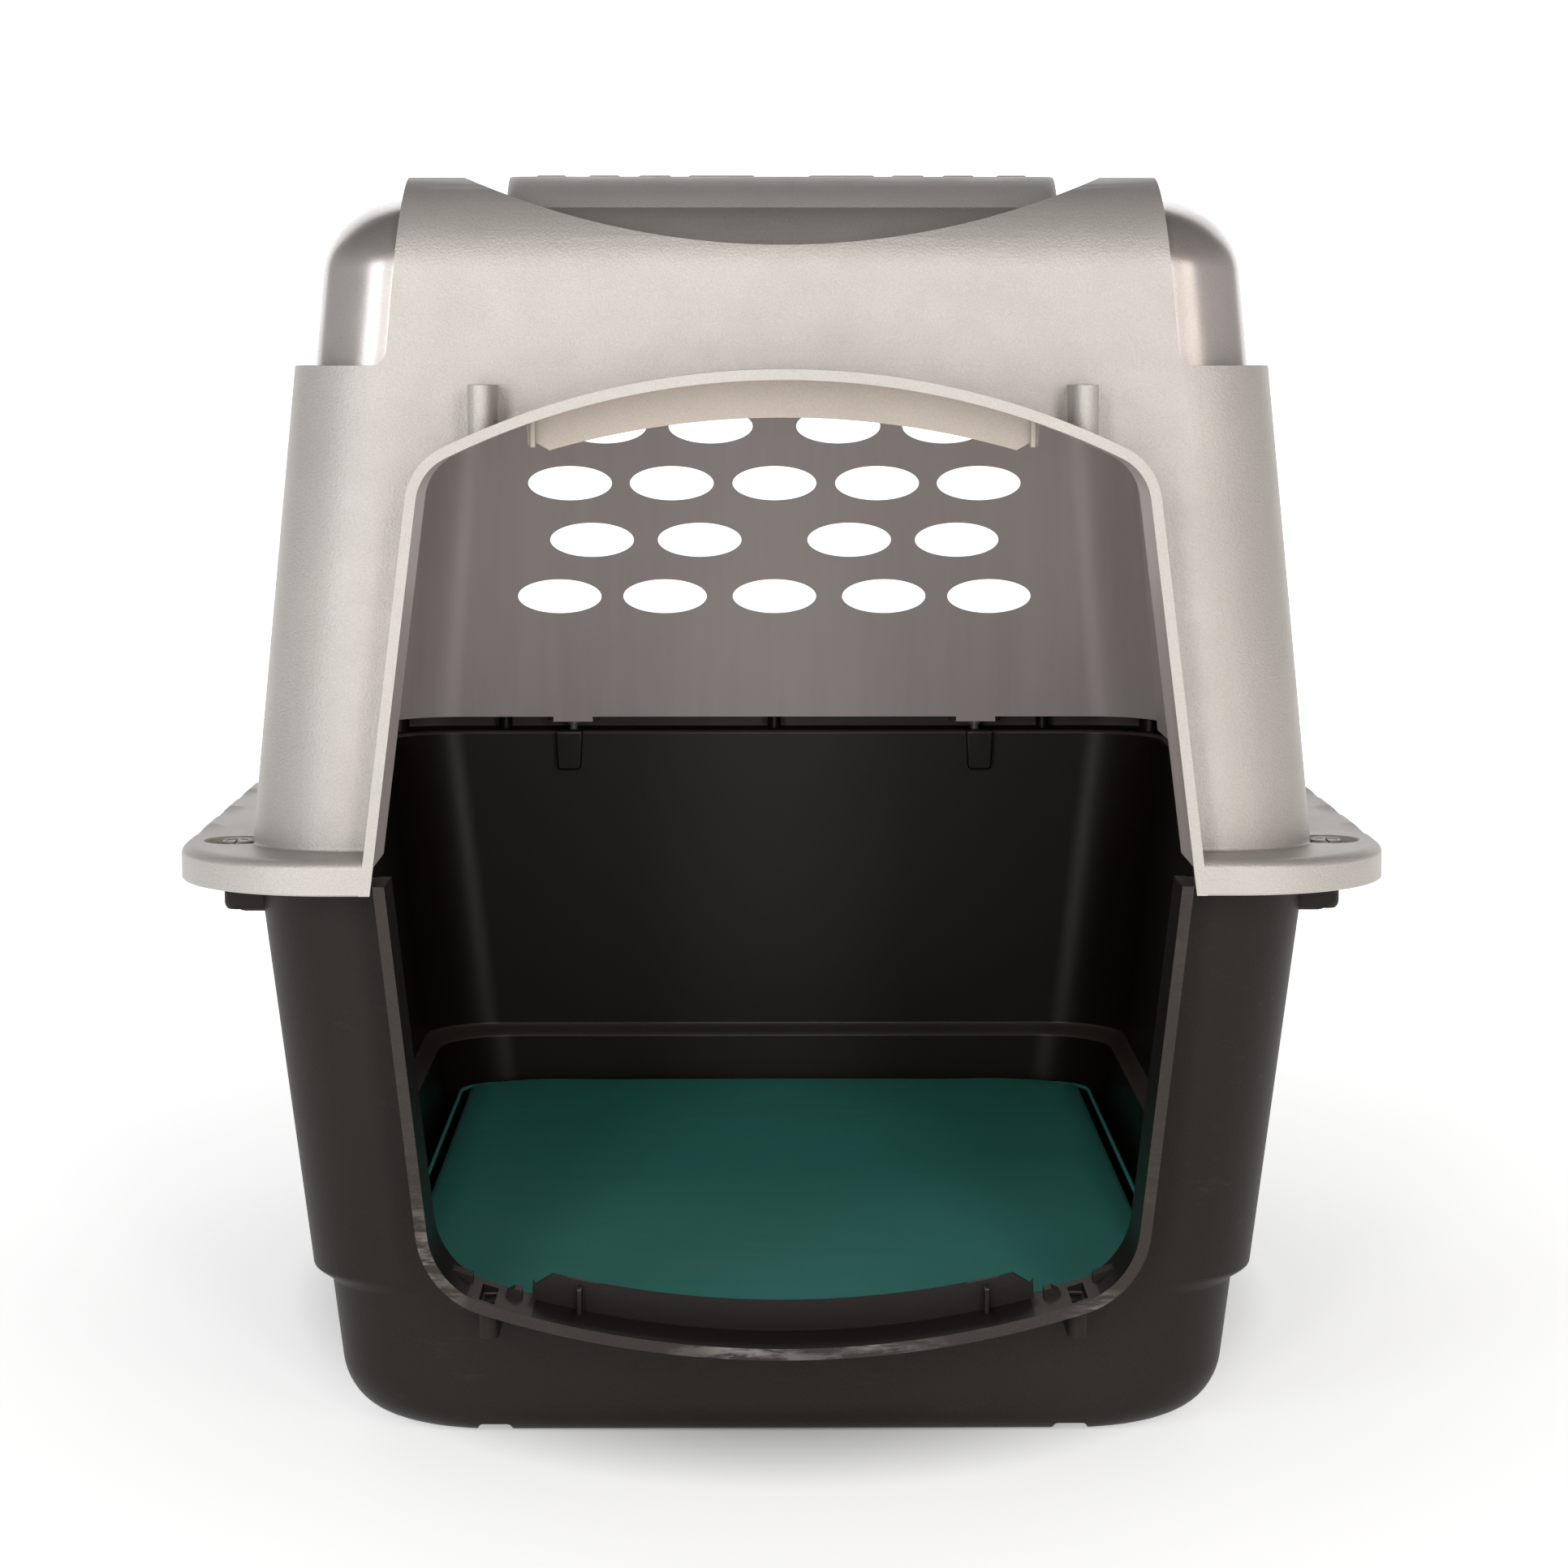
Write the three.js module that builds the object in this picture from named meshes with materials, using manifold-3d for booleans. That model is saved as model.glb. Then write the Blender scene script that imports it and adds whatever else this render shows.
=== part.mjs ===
// A hooded cabin for a cat: a deep base tray, a vented hood that drops onto its rim, a loose floor
// mat, and eight quarter-turn fasteners that hold the hood down.
// Millimetres, +Z up. The doorway faces -Y. The origin is on the ground under the middle.
import * as THREE from 'three';
import { mergeVertices } from 'three/addons/utils/BufferGeometryUtils.js';
import Module from 'manifold-3d';

const wasm = await Module();
wasm.setup();

// ---------------------------------------------------------------- driving dimensions
const WIDTH = 524;              // over the flange, along X
const LENGTH = 711;             // over the flange, along Y
const HEIGHT = 548;             // ground to the top of the roof ribs
const RIM_Z = 247;              // top of the base flange, where base and hood part

const WALL = 2.8;               // moulded wall of both shells
const REST_GAP = 0.3;           // left between two pieces that touch
const PAST = 5;                 // how far a cutter runs past the face it cuts

// How finely round shapes are divided.
const FINE = 18;                // sides of a head or dish
const MEDIUM = 14;              // sides of a boss
const COARSE = 10;              // sides of a shaft or post
const ROUND_STEPS = 5;          // steps in the rounding of a large edge
const VENT_SEGMENTS = 5;        // steps in half a vent

// Flange and skirt around the joint.
const OVERHANG = 30.5;          // hood wall to flange edge, at the sides
const END_OVERHANG = 30;        // the same at the front and the rear
const FLANGE_CORNER = 70;
const FLANGE_PLATE = 3;
const FLANGE_ROUND = 4;         // rounding of the hood flange's top edge
const SEAT_GAP = 8;             // between the two flanges, filled by the seat posts
const SKIRT_DROP = 15;          // hood skirt, measured down from the flange top
const SKIRT_WALL = 3;
const SKIRT_CLEARANCE = 1;      // base flange edge to the inside of the skirt

// Finger scallops along the flange's long edges.
const SCALLOP_PITCH = 69.5;
const SCALLOP_LONG = 50;
const SCALLOP_WIDE = 30;
const SCALLOP_DEEP = 2.4;
const SCALLOP_BACKING = 3;

// Hood.
const CABIN_CORNER = 45;        // vertical corner radius of both shells
const HOOD_DRAFT = 0.0935;      // side wall lean, mm per mm of height
const HOOD_END_DRAFT = 0.06;    // front and rear wall lean
const FRAME_PROUD = 9;          // how far the end frames stand proud of the smooth body
const RIB_HEIGHT = 1.3;
const HORN_DROP = 1.2;          // frame top below the platform top
const ROOF_ROUND = 31;          // rounding of the smooth body into the roof
const FRAME_ROUND = 40;         // rounding of the frames over the top
const SHOULDER_DROP = 72;       // smooth roof down to the top of the columns
const COLUMN_DEPTH = 90;        // corner column, along Y
const FRAME_OVER = 135;         // how far a frame reaches back over the roof
const WINDOW_WIDTH = 43;        // smooth corner beside the upper frame
const HEADER_CORNER = 1.5;      // upright edges of the upper frame
const HORN_WIDE = 23.4;         // flat end of a frame's top, outside its curved upper edge
const SMILE_DROP = 30;          // lowest point of that curved edge, below the frame top

// Roof platform with its ribs.
const PLATFORM_IN = 18.9;       // its long edges, in from the ends of the frame's curved edge
const PLATFORM_ROUND = 45;
const PLATFORM_CORNER = 8;
const PLATFORM_SETBACK = 14;    // its front face behind the frame's
const RIB_END = 62;             // rib ends, back from the platform's front face
const RIBS = [[0.1, 0.345], [0.41, 0.53], [0.6, 0.715], [0.8, 0.91]];  // edges, shares of its half width

// Doorway. It hangs from the top of the hood, and its sill stands a fixed height above the ground.
// Each half is drawn from the base rim to its apex, and the sill half is turned over.
const HEAD_DROP = 84.8;         // head of the doorway below the top
const SILL_HEIGHT = 43.4;       // sill above the ground
const COLLAR_THROUGH = 2;       // wall thicknesses that a collar runs in past the wall's outside
const JOINT_OVERCUT = 20;       // how far a half's cutter runs past the joint
const DOOR_TOP = { beside: 53.6, lean: 0.127, arch: 325, corner: 13, wall: 4.5 };
const DOOR_SILL = { beside: 56.5, lean: 0.11, arch: 420, corner: 22, wall: 5 };

// Stop lips that a door would close against, and the sockets for its pins.
const LIP_WALL = 3;
const LIP_SETBACK = 31;         // lip front behind the collar edge
const LIP_IN = 67.9;            // lip's end, in from the doorway's widest point
const LIP_TAPER = 0.33;         // how much shorter its free edge is, a share of its depth
const LIP_TOP = { depth: 16, arch: 361 };
const LIP_SILL = { depth: 13, arch: 417 };
const PIN_IN = 51.4;            // pin axis, in from the doorway's widest point
const PIN_SETBACK = 16;         // pin axis behind the collar edge
const PIN_BORE = 2.8;
const PIN_BOSS_TOP = { radius: 5.4, reach: 19 };
const PIN_BOSS_SILL = { radius: 4.3, reach: 13 };

// Oval vents.
const VENT_LONG = 49.5;
const VENT_TALL = 20.2;
const VENT_PITCH = 60.6;
const VENT_ROW_PITCH = 33.5;
const VENT_FIRST = 80;          // lowest row above the base rim
const VENT_MARGIN = 10;
const REAR_VENTS = [[0, 1.07, 2.1], [0.73, 1.78], [0, 1, 1.99], [0.62, 1.65]];  // columns, in pitches

// Base.
const BASE_DRAFT = 0.117;
const BASE_END_DRAFT = 0.035;
const BASE_TUCK = 2.3;          // base wall behind the hood wall at the joint
const STEP_Z = 66;              // ledge around the lower tray
const STEP_IN = 7.5;
const FOOT_ROUND = 26;          // bottom edge at the sides
const FOOT_END_ROUND = 12;      // bottom edge at the front and the rear
const FLOOR_RAISED = 28.7;      // top of the raised floor
const TRAY_FLOOR = 2.5;         // thickness of the floor in the gutter
const MOAT_SIDE = 34;           // gutter between raised floor and wall, at the sides
const MOAT_END = 18.5;          // the same at the front and the rear
const FOOT_NOTCH = { inset: 103.2, wide: 17, high: 4, deep: 22 };

// Seat posts between the flanges, and the two pocket bosses on the rear wall.
const POST_RADIUS = 4;
const POST_IN = 13.5;           // post axis in from the base flange's edge
const REAR_POST_SHARE = 0.6585; // of the half width between the side posts
const CORNER_POST_RADIUS = 6.5;
const CORNER_POST_IN = 21;      // in from the lines of the side and rear posts
const POCKET = { inset: 107.2, wide: 16, deep: 9, tall: 23, wall: 2.4 };

// Floor mat.
const MAT_THICK = 13;
const MAT_SIDE_GAP = 6.5;
const MAT_CORNER = 26;
const MAT_EDGE = 3;             // bevel round its top and bottom

// Quarter-turn fasteners.
const FRONT_FASTENER_IN = 41.5; // front and rear axes in from the hood's end walls
const REAR_FASTENER_IN = 111.5; // rear axes in from the hood's side walls
const HEAD_RADIUS = 6.7;
const FASTENER_OUT = HEAD_RADIUS + REST_GAP;  // axis outside the hood wall, which the head just clears
const HEAD_THICK = 2.2;
const SLOT_WIDE = 1.6;
const SLOT_DEEP = 1.2;
const DISH_RADIUS = 14;
const DISH_DEEP = 2.5;
const DISH_FLOOR = 3.5;
const SHAFT_RADIUS = 2.3;
const SHAFT_CLEARANCE = 0.4;
const CATCH_RADIUS = 3.6;
const CATCH_THICK = 2;
const LUG_HALF = 4.1;           // half length of the locking lug
const LUG_WIDE = 3.4;
const LUG_THICK = 3;
const LUG_CLEARANCE = 0.5;      // all round the lug in its keyhole and boss
const BOSS_WALL = 1.4;
const BOSS_DROP = 17;           // boss below the base flange
const WEB_INTO = 7.5;           // how far a boss's web runs in past the wall's outside

// ---------------------------------------------------------------- sizes that follow
const HOOD_HALF_X = WIDTH / 2 - OVERHANG;
const HOOD_HALF_Y = LENGTH / 2 - END_OVERHANG;
const BASE_HALF_X = HOOD_HALF_X - BASE_TUCK;
const BASE_HALF_Y = HOOD_HALF_Y;
const FRONT_Y = -LENGTH / 2;
const HOOD_PLATE_Z = RIM_Z + SEAT_GAP;
const FLANGE_TOP = HOOD_PLATE_Z + FLANGE_PLATE;
const SKIRT_Z = FLANGE_TOP - SKIRT_DROP;
const PLATE_UNDER = RIM_Z - FLANGE_PLATE;
const PLATFORM_TOP = HEIGHT - RIB_HEIGHT;
const FRAME_TOP = PLATFORM_TOP - HORN_DROP;
const ROOF_TOP = FRAME_TOP - FRAME_PROUD;
const SHOULDER_Z = ROOF_TOP - SHOULDER_DROP;
const COLUMN_INNER = HOOD_HALF_Y - COLUMN_DEPTH;
const DISH_Z = FLANGE_TOP - DISH_DEEP;
const PAD_UNDER = DISH_Z - DISH_FLOOR;
const LUG_TOP = PLATE_UNDER - LUG_CLEARANCE;
const BOSS_RADIUS = LUG_HALF + LUG_CLEARANCE + BOSS_WALL;

const wideHalfX = z => HOOD_HALF_X - HOOD_DRAFT * (z - HOOD_PLATE_Z);
const wideHalfY = z => HOOD_HALF_Y - HOOD_END_DRAFT * (z - HOOD_PLATE_Z);
const bandHalf = z => wideHalfX(z) - WINDOW_WIDTH;

const SMILE_HALF = bandHalf(FRAME_TOP) - HORN_WIDE;
const SMILE_RADIUS = (SMILE_HALF ** 2 + SMILE_DROP ** 2) / (2 * SMILE_DROP);
const PLATFORM_HALF = SMILE_HALF - PLATFORM_IN;
const PLATFORM_HALF_Y = wideHalfY(PLATFORM_TOP - PLATFORM_ROUND) - PLATFORM_SETBACK;

const doorTop = { ...DOOR_TOP, half: HOOD_HALF_X - DOOR_TOP.beside, apex: HEIGHT - HEAD_DROP - RIM_Z };
const doorSill = { ...DOOR_SILL, half: BASE_HALF_X - DOOR_SILL.beside, apex: RIM_Z - SILL_HEIGHT };
const COLLAR_BACK = COLLAR_THROUGH * WALL - wideHalfY(HEIGHT - HEAD_DROP);
const LIP_HALF = doorTop.half - LIP_IN;
const PIN_X = doorTop.half - PIN_IN;
const REAR_FASTENER_X = HOOD_HALF_X - REAR_FASTENER_IN;

const LOW_HALF_X = BASE_HALF_X - BASE_DRAFT * RIM_Z - STEP_IN;
const LOW_HALF_Y = BASE_HALF_Y - BASE_END_DRAFT * RIM_Z - STEP_IN;

// ---------------------------------------------------------------- solids
function toSolid(geometry) {
  const bare = geometry.index ? geometry : geometry.clone();
  bare.deleteAttribute('normal');
  bare.deleteAttribute('uv');
  const merged = mergeVertices(bare, 1e-4);
  return new wasm.Manifold(new wasm.Mesh({
    numProp: 3,
    vertProperties: new Float32Array(merged.attributes.position.array),
    triVerts: new Uint32Array(merged.index.array),
  }));
}

function toGeometry(solid) {
  const mesh = solid.getMesh();
  const geometry = new THREE.BufferGeometry();
  geometry.setAttribute('position', new THREE.BufferAttribute(new Float32Array(mesh.vertProperties), 3));
  geometry.setIndex(new THREE.BufferAttribute(new Uint32Array(mesh.triVerts), 1));
  geometry.computeVertexNormals();
  return geometry;
}

const join = solids => solids.reduce((whole, piece) => whole.add(piece));

function box(lowX, highX, lowY, highY, lowZ, highZ) {
  const geometry = new THREE.BoxGeometry(highX - lowX, highY - lowY, highZ - lowZ);
  geometry.translate((lowX + highX) / 2, (lowY + highY) / 2, (lowZ + highZ) / 2);
  return toSolid(geometry);
}

function post(radius, lowZ, highZ, x, y, sides = FINE) {
  const geometry = new THREE.CylinderGeometry(radius, radius, highZ - lowZ, sides);
  geometry.rotateX(Math.PI / 2);
  geometry.translate(x, y, (lowZ + highZ) / 2);
  return toSolid(geometry);
}

function roundedOutline(halfX, halfY, radius) {
  const corner = Math.min(radius, halfX, halfY);
  const shape = new THREE.Shape();
  shape.moveTo(halfX, corner - halfY);
  shape.absarc(halfX - corner, halfY - corner, corner, 0, Math.PI / 2);
  shape.absarc(corner - halfX, halfY - corner, corner, Math.PI / 2, Math.PI);
  shape.absarc(corner - halfX, corner - halfY, corner, Math.PI, 1.5 * Math.PI);
  shape.absarc(halfX - corner, corner - halfY, corner, 1.5 * Math.PI, 2 * Math.PI);
  return shape;
}

// A stack of one outline, each level drawn in by its own amount at the sides, front and rear.
function loft(outline, levels, curveSegments = 4) {
  const steps = levels.length - 1;
  const geometry = new THREE.ExtrudeGeometry(outline, {
    depth: steps, steps, curveSegments, bevelEnabled: false,
  });
  const place = geometry.attributes.position;
  for (let i = 0; i < place.count; i += 1) {
    const level = levels[Math.round(place.getZ(i))];
    const inAtEnd = place.getY(i) < 0 ? level.front : level.rear;
    place.setX(i, place.getX(i) - Math.sign(place.getX(i)) * level.side);
    place.setY(i, place.getY(i) - Math.sign(place.getY(i)) * inAtEnd);
    place.setZ(i, level.z);
  }
  return toSolid(geometry);
}

// An outline drawn in X and Z, pushed along Y.
function alongY(shape, lowY, highY, curveSegments = 7) {
  const geometry = new THREE.ExtrudeGeometry(shape, {
    depth: highY - lowY, curveSegments, bevelEnabled: false,
  });
  geometry.rotateX(Math.PI / 2);
  geometry.translate(0, highY, 0);
  return toSolid(geometry);
}

// How far a rounded edge of this radius has drawn in at a height above where it starts.
const drawnIn = (radius, rise) => radius - Math.sqrt(Math.max(radius ** 2 - Math.min(rise, radius) ** 2, 0));

// Heights above the start of a rounded edge, at equal steps of turn.
function roundRises(radius, steps = ROUND_STEPS) {
  return Array.from({ length: steps + 1 }, (_, k) => radius * Math.sin(Math.PI / 2 * k / steps));
}

const flat = z => ({ z, side: 0, front: 0, rear: 0 });

// ---------------------------------------------------------------- doorway outline
const archDrop = (radius, x) => radius - Math.sqrt(radius ** 2 - x ** 2);

// Half of the doorway in X and Z, from `from` above the base rim (down, for the sill) to its arch.
function doorShape(half, from, way, grow) {
  const arch = half.arch + grow;
  const apex = half.apex + grow;
  const sideX = rise => half.half + grow - half.lean * rise;
  let cornerRise = apex;
  for (let pass = 0; pass < 8; pass += 1) {
    cornerRise = apex - archDrop(arch, sideX(cornerRise));
  }
  const cornerX = sideX(cornerRise);
  const lowRise = cornerRise - half.corner;
  const archX = cornerX - half.corner;
  const archRise = apex - archDrop(arch, archX);
  const spread = Math.asin(archX / arch);
  const z = rise => RIM_Z + way * rise;
  const shape = new THREE.Shape();
  shape.moveTo(sideX(from), z(from));
  shape.lineTo(sideX(lowRise), z(lowRise));
  shape.quadraticCurveTo(cornerX, z(cornerRise), archX, z(archRise));
  const middle = Math.PI / 2 * way;
  shape.absarc(0, z(apex - arch), arch, middle - way * spread, middle + way * spread, way < 0);
  shape.quadraticCurveTo(-cornerX, z(cornerRise), -sideX(lowRise), z(lowRise));
  shape.lineTo(-sideX(from), z(from));
  return shape;
}

// A curved lip that closes the inside of the arch by `depth`.
function lipShape(half, lip, way) {
  const outerArch = half.arch;
  const outerApex = half.apex - half.wall / 2;
  const innerApex = half.apex - half.wall - lip.depth;
  const z = rise => RIM_Z + way * rise;
  const middle = Math.PI / 2 * way;
  const outerSpread = Math.asin(LIP_HALF / outerArch);
  const innerSpread = Math.asin((LIP_HALF - lip.depth * LIP_TAPER) / lip.arch);
  const shape = new THREE.Shape();
  shape.absarc(0, z(outerApex - outerArch), outerArch,
    middle - way * outerSpread, middle + way * outerSpread, way < 0);
  shape.absarc(0, z(innerApex - lip.arch), lip.arch,
    middle + way * innerSpread, middle - way * innerSpread, way > 0);
  return shape;
}

// ---------------------------------------------------------------- places that repeat
function fastenerPlaces() {
  const sideX = HOOD_HALF_X + FASTENER_OUT;
  const endY = HOOD_HALF_Y - FRONT_FASTENER_IN;
  const rearY = HOOD_HALF_Y + FASTENER_OUT;
  const places = [];
  for (const [side, sign] of [['left', -1], ['right', 1]]) {
    places.push({ name: `fastener_${side}_front`, x: sign * sideX, y: -endY });
    places.push({ name: `fastener_${side}_middle`, x: sign * sideX, y: 0 });
    places.push({ name: `fastener_${side}_rear`, x: sign * sideX, y: endY });
    places.push({ name: `fastener_rear_${side}`, x: sign * REAR_FASTENER_X, y: rearY, atRear: true });
  }
  return places;
}

// Middles of a row of equal features, centred on zero.
function row(count, pitch) {
  return Array.from({ length: count }, (_, i) => (i - (count - 1) / 2) * pitch);
}

// Always an even number, so that the middle fastener stands between two scallops.
const scallopRow = () => {
  const straight = LENGTH - 2 * FLANGE_CORNER - SCALLOP_LONG;
  return row(2 * Math.floor((straight / SCALLOP_PITCH + 1) / 2), SCALLOP_PITCH);
};

function ovalAt(across, z) {
  const shape = new THREE.Shape();
  shape.absellipse(across, z, VENT_LONG / 2, VENT_TALL / 2, 0, 2 * Math.PI);
  return shape;
}

// ---------------------------------------------------------------- hood
function smoothBody(inset) {
  const top = ROOF_TOP - inset;
  const round = ROOF_ROUND - inset;
  const start = top - round;
  const levels = [{ z: HOOD_PLATE_Z - (inset ? PAST : 0), rise: 0 }];
  for (const rise of roundRises(round)) {
    levels.push({ z: start + rise, rise });
  }
  const halfX = HOOD_HALF_X - FRAME_PROUD - inset;
  const halfY = HOOD_HALF_Y - FRAME_PROUD - inset;
  const corner = CABIN_CORNER - FRAME_PROUD - inset;
  return loft(roundedOutline(halfX, halfY, corner), levels.map(({ z, rise }) => {
    const drawn = drawnIn(round, rise);
    const end = HOOD_END_DRAFT * (z - HOOD_PLATE_Z) + drawn;
    return { z, side: HOOD_DRAFT * (z - HOOD_PLATE_Z) + drawn, front: end, rear: end };
  }));
}

function drafted(halfX, halfY, corner, lowZ, highZ) {
  return loft(roundedOutline(halfX, halfY, corner), [lowZ, highZ].map(z => {
    const end = HOOD_END_DRAFT * (z - HOOD_PLATE_Z);
    return { z, side: HOOD_DRAFT * (z - HOOD_PLATE_Z), front: end, rear: end };
  }));
}

// The lower hood at its full width, in front of and behind the recessed side panels.
function endWalls(inset) {
  const all = drafted(HOOD_HALF_X - inset, HOOD_HALF_Y - inset, CABIN_CORNER - inset,
    HOOD_PLATE_Z - (inset ? PAST : 0), SHOULDER_Z - inset);
  const inner = COLUMN_INNER + inset;
  return all.subtract(box(-WIDTH, WIDTH, -inner, inner, 0, HEIGHT));
}

// The frame's header, which runs up the end wall and over the edge of the roof.
function header(inset) {
  const round = FRAME_ROUND - inset;
  const start = FRAME_TOP - FRAME_ROUND;
  const levels = [HOOD_PLATE_Z + inset, ...roundRises(round).map(rise => start + rise)];
  const outline = roundedOutline(bandHalf(HOOD_PLATE_Z) - inset, HOOD_HALF_Y - inset, HEADER_CORNER);
  const all = loft(outline, levels.map(z => {
    const end = HOOD_END_DRAFT * (z - HOOD_PLATE_Z) + drawnIn(round, Math.max(z - start, 0));
    return { z, side: HOOD_DRAFT * (z - HOOD_PLATE_Z), front: end, rear: end };
  }), 1);
  const inner = HOOD_HALF_Y - FRAME_OVER + inset;
  return all.subtract(box(-WIDTH, WIDTH, -inner, inner, 0, HEIGHT));
}

function smileCutter(inset) {
  const shape = new THREE.Shape();
  const radius = SMILE_RADIUS + inset;
  const centreZ = FRAME_TOP - SMILE_DROP + SMILE_RADIUS;
  const spread = Math.acos((centreZ - FRAME_TOP - PAST) / radius);
  shape.absarc(0, centreZ, radius, 1.5 * Math.PI - spread, 1.5 * Math.PI + spread);
  return alongY(shape, -LENGTH, LENGTH, 10);
}

function endFrames(inset) {
  return endWalls(inset).add(header(inset)).subtract(smileCutter(inset));
}

function platformSlab(inset) {
  const start = PLATFORM_TOP - PLATFORM_ROUND;
  const round = PLATFORM_ROUND - inset;
  const levels = [start - PAST - inset, ...roundRises(round).map(rise => start + rise)];
  const outline = roundedOutline(PLATFORM_HALF - inset, PLATFORM_HALF_Y - inset, PLATFORM_CORNER - inset);
  return loft(outline, levels.map(z => {
    const end = drawnIn(round, Math.max(z - start, 0));
    return { z, side: 0, front: end, rear: end };
  }), 2);
}

function platformRibs() {
  const ribHalfY = PLATFORM_HALF_Y - RIB_END;
  const ribs = [];
  for (const [inner, outer] of RIBS) {
    for (const [from, to] of [[-outer, -inner], [inner, outer]]) {
      const [low, high] = [from * PLATFORM_HALF, to * PLATFORM_HALF];
      ribs.push(box(low, high, -ribHalfY, ribHalfY, PLATFORM_TOP - RIB_HEIGHT, HEIGHT));
    }
  }
  return join(ribs);
}

function flangeOutline(inset) {
  return roundedOutline(WIDTH / 2 - inset, LENGTH / 2 - inset, FLANGE_CORNER - inset);
}

function hoodFlange() {
  const levels = [flat(SKIRT_Z)];
  for (const rise of roundRises(FLANGE_ROUND, 3)) {
    const drawn = drawnIn(FLANGE_ROUND, rise);
    levels.push({ z: FLANGE_TOP - FLANGE_ROUND + rise, side: drawn, front: drawn, rear: drawn });
  }
  const under = loft(flangeOutline(SKIRT_WALL), [flat(SKIRT_Z - PAST), flat(HOOD_PLATE_Z)]);
  return loft(flangeOutline(0), levels).subtract(under);
}

function scallopCutters() {
  const cutters = [];
  for (const y of scallopRow()) {
    for (const sign of [-1, 1]) {
      const geometry = new THREE.SphereGeometry(1, 10, 6);
      geometry.scale(SCALLOP_WIDE / 2, SCALLOP_LONG / 2, SCALLOP_DEEP * 2);
      geometry.translate(sign * WIDTH / 2, y, FLANGE_TOP + SCALLOP_DEEP);
      cutters.push(toSolid(geometry));
    }
  }
  return join(cutters);
}

function scallopBacking() {
  const blocks = [];
  for (const y of scallopRow()) {
    const half = SCALLOP_LONG / 2;
    const outer = WIDTH / 2 - SKIRT_WALL / 2;
    const inner = WIDTH / 2 - SCALLOP_WIDE / 2;
    const [low, high] = [HOOD_PLATE_Z - SCALLOP_BACKING, HOOD_PLATE_Z + FLANGE_PLATE / 2];
    blocks.push(box(inner, outer, y - half, y + half, low, high));
    blocks.push(box(-outer, -inner, y - half, y + half, low, high));
  }
  return join(blocks);
}

function doorCollar(half, from, way) {
  return alongY(doorShape(half, from, way, 0), FRONT_Y, COLLAR_BACK);
}

function doorCutter(half, way) {
  return alongY(doorShape(half, -JOINT_OVERCUT, way, -half.wall), FRONT_Y - PAST, COLLAR_BACK + PAST);
}

function doorEdgeZ(half, way, x) {
  return RIM_Z + way * (half.apex - archDrop(half.arch, x));
}

function pinBosses(half, boss, way) {
  const bosses = [];
  const edge = doorEdgeZ(half, way, PIN_X);
  const [low, high] = [edge - way * half.wall, edge + way * boss.reach].sort((a, b) => a - b);
  for (const x of [-PIN_X, PIN_X]) {
    const y = FRONT_Y + PIN_SETBACK;
    bosses.push(post(boss.radius, low, high, x, y, MEDIUM));
    bosses.push(box(x - boss.radius, x + boss.radius, y, COLLAR_BACK, low, high));
  }
  return join(bosses);
}

function pinBores(half, boss, way) {
  const bores = [];
  const edge = doorEdgeZ(half, way, PIN_X);
  const ends = [edge - way * (half.wall + PAST), edge + way * (boss.reach - WALL)];
  const [low, high] = ends.sort((a, b) => a - b);
  for (const x of [-PIN_X, PIN_X]) {
    bores.push(post(PIN_BORE, low, high, x, FRONT_Y + PIN_SETBACK, COARSE));
  }
  return join(bores);
}

function stopLip(half, lip, way) {
  const low = FRONT_Y + LIP_SETBACK;
  return alongY(lipShape(half, lip, way), low, low + LIP_WALL, 16);
}

// Ties the stop lip's root to the wall behind the collar, right along the arch.
function collarRoot(half, way) {
  const ring = alongY(doorShape(half, PAST, way, half.wall), FRONT_Y + LIP_SETBACK, COLLAR_BACK);
  return ring.subtract(doorCutter(half, way));
}

function hoodVents() {
  const cutters = [];
  const lastRow = SHOULDER_Z - VENT_TALL / 2 - VENT_MARGIN;
  let level = 0;
  for (let z = RIM_Z + VENT_FIRST; z <= lastRow; z += VENT_ROW_PITCH) {
    const rearHalf = wideHalfX(z) - CABIN_CORNER - VENT_MARGIN - VENT_LONG / 2;
    const columns = REAR_VENTS[level % REAR_VENTS.length].map((pitches) => pitches * VENT_PITCH);
    for (const out of columns.filter((x) => x <= rearHalf)) {
      for (const x of new Set([out, -out])) {
        cutters.push(alongY(ovalAt(x, z), 0, LENGTH, VENT_SEGMENTS));
      }
    }
    const sideCount = Math.floor((2 * (COLUMN_INNER - VENT_MARGIN) - VENT_LONG) / VENT_PITCH) + 1;
    for (const y of row(sideCount - level % 2, VENT_PITCH)) {
      const geometry = new THREE.ExtrudeGeometry(ovalAt(-y, z), {
        depth: 2 * WIDTH, curveSegments: VENT_SEGMENTS, bevelEnabled: false,
      });
      geometry.rotateX(Math.PI / 2);
      geometry.translate(0, WIDTH, 0);
      geometry.rotateZ(-Math.PI / 2);
      cutters.push(toSolid(geometry));
    }
    level += 1;
  }
  return join(cutters);
}

function dishPads() {
  return join(fastenerPlaces().map(({ x, y }) => post(DISH_RADIUS + WALL / 2, PAD_UNDER,
    HOOD_PLATE_Z + FLANGE_PLATE / 2, x, y)));
}

// Each dish stops at the hood wall that it runs into.
function dishCutters() {
  const wall = drafted(HOOD_HALF_X, HOOD_HALF_Y, CABIN_CORNER, SKIRT_Z, SHOULDER_Z);
  const dishes = fastenerPlaces().map(({ x, y }) => post(DISH_RADIUS, DISH_Z, FLANGE_TOP + PAST, x, y));
  return join(dishes).subtract(wall);
}

function shaftHoles(radius, lowZ, highZ) {
  return join(fastenerPlaces().map(({ x, y }) => post(radius, lowZ, highZ, x, y, COARSE)));
}

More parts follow.
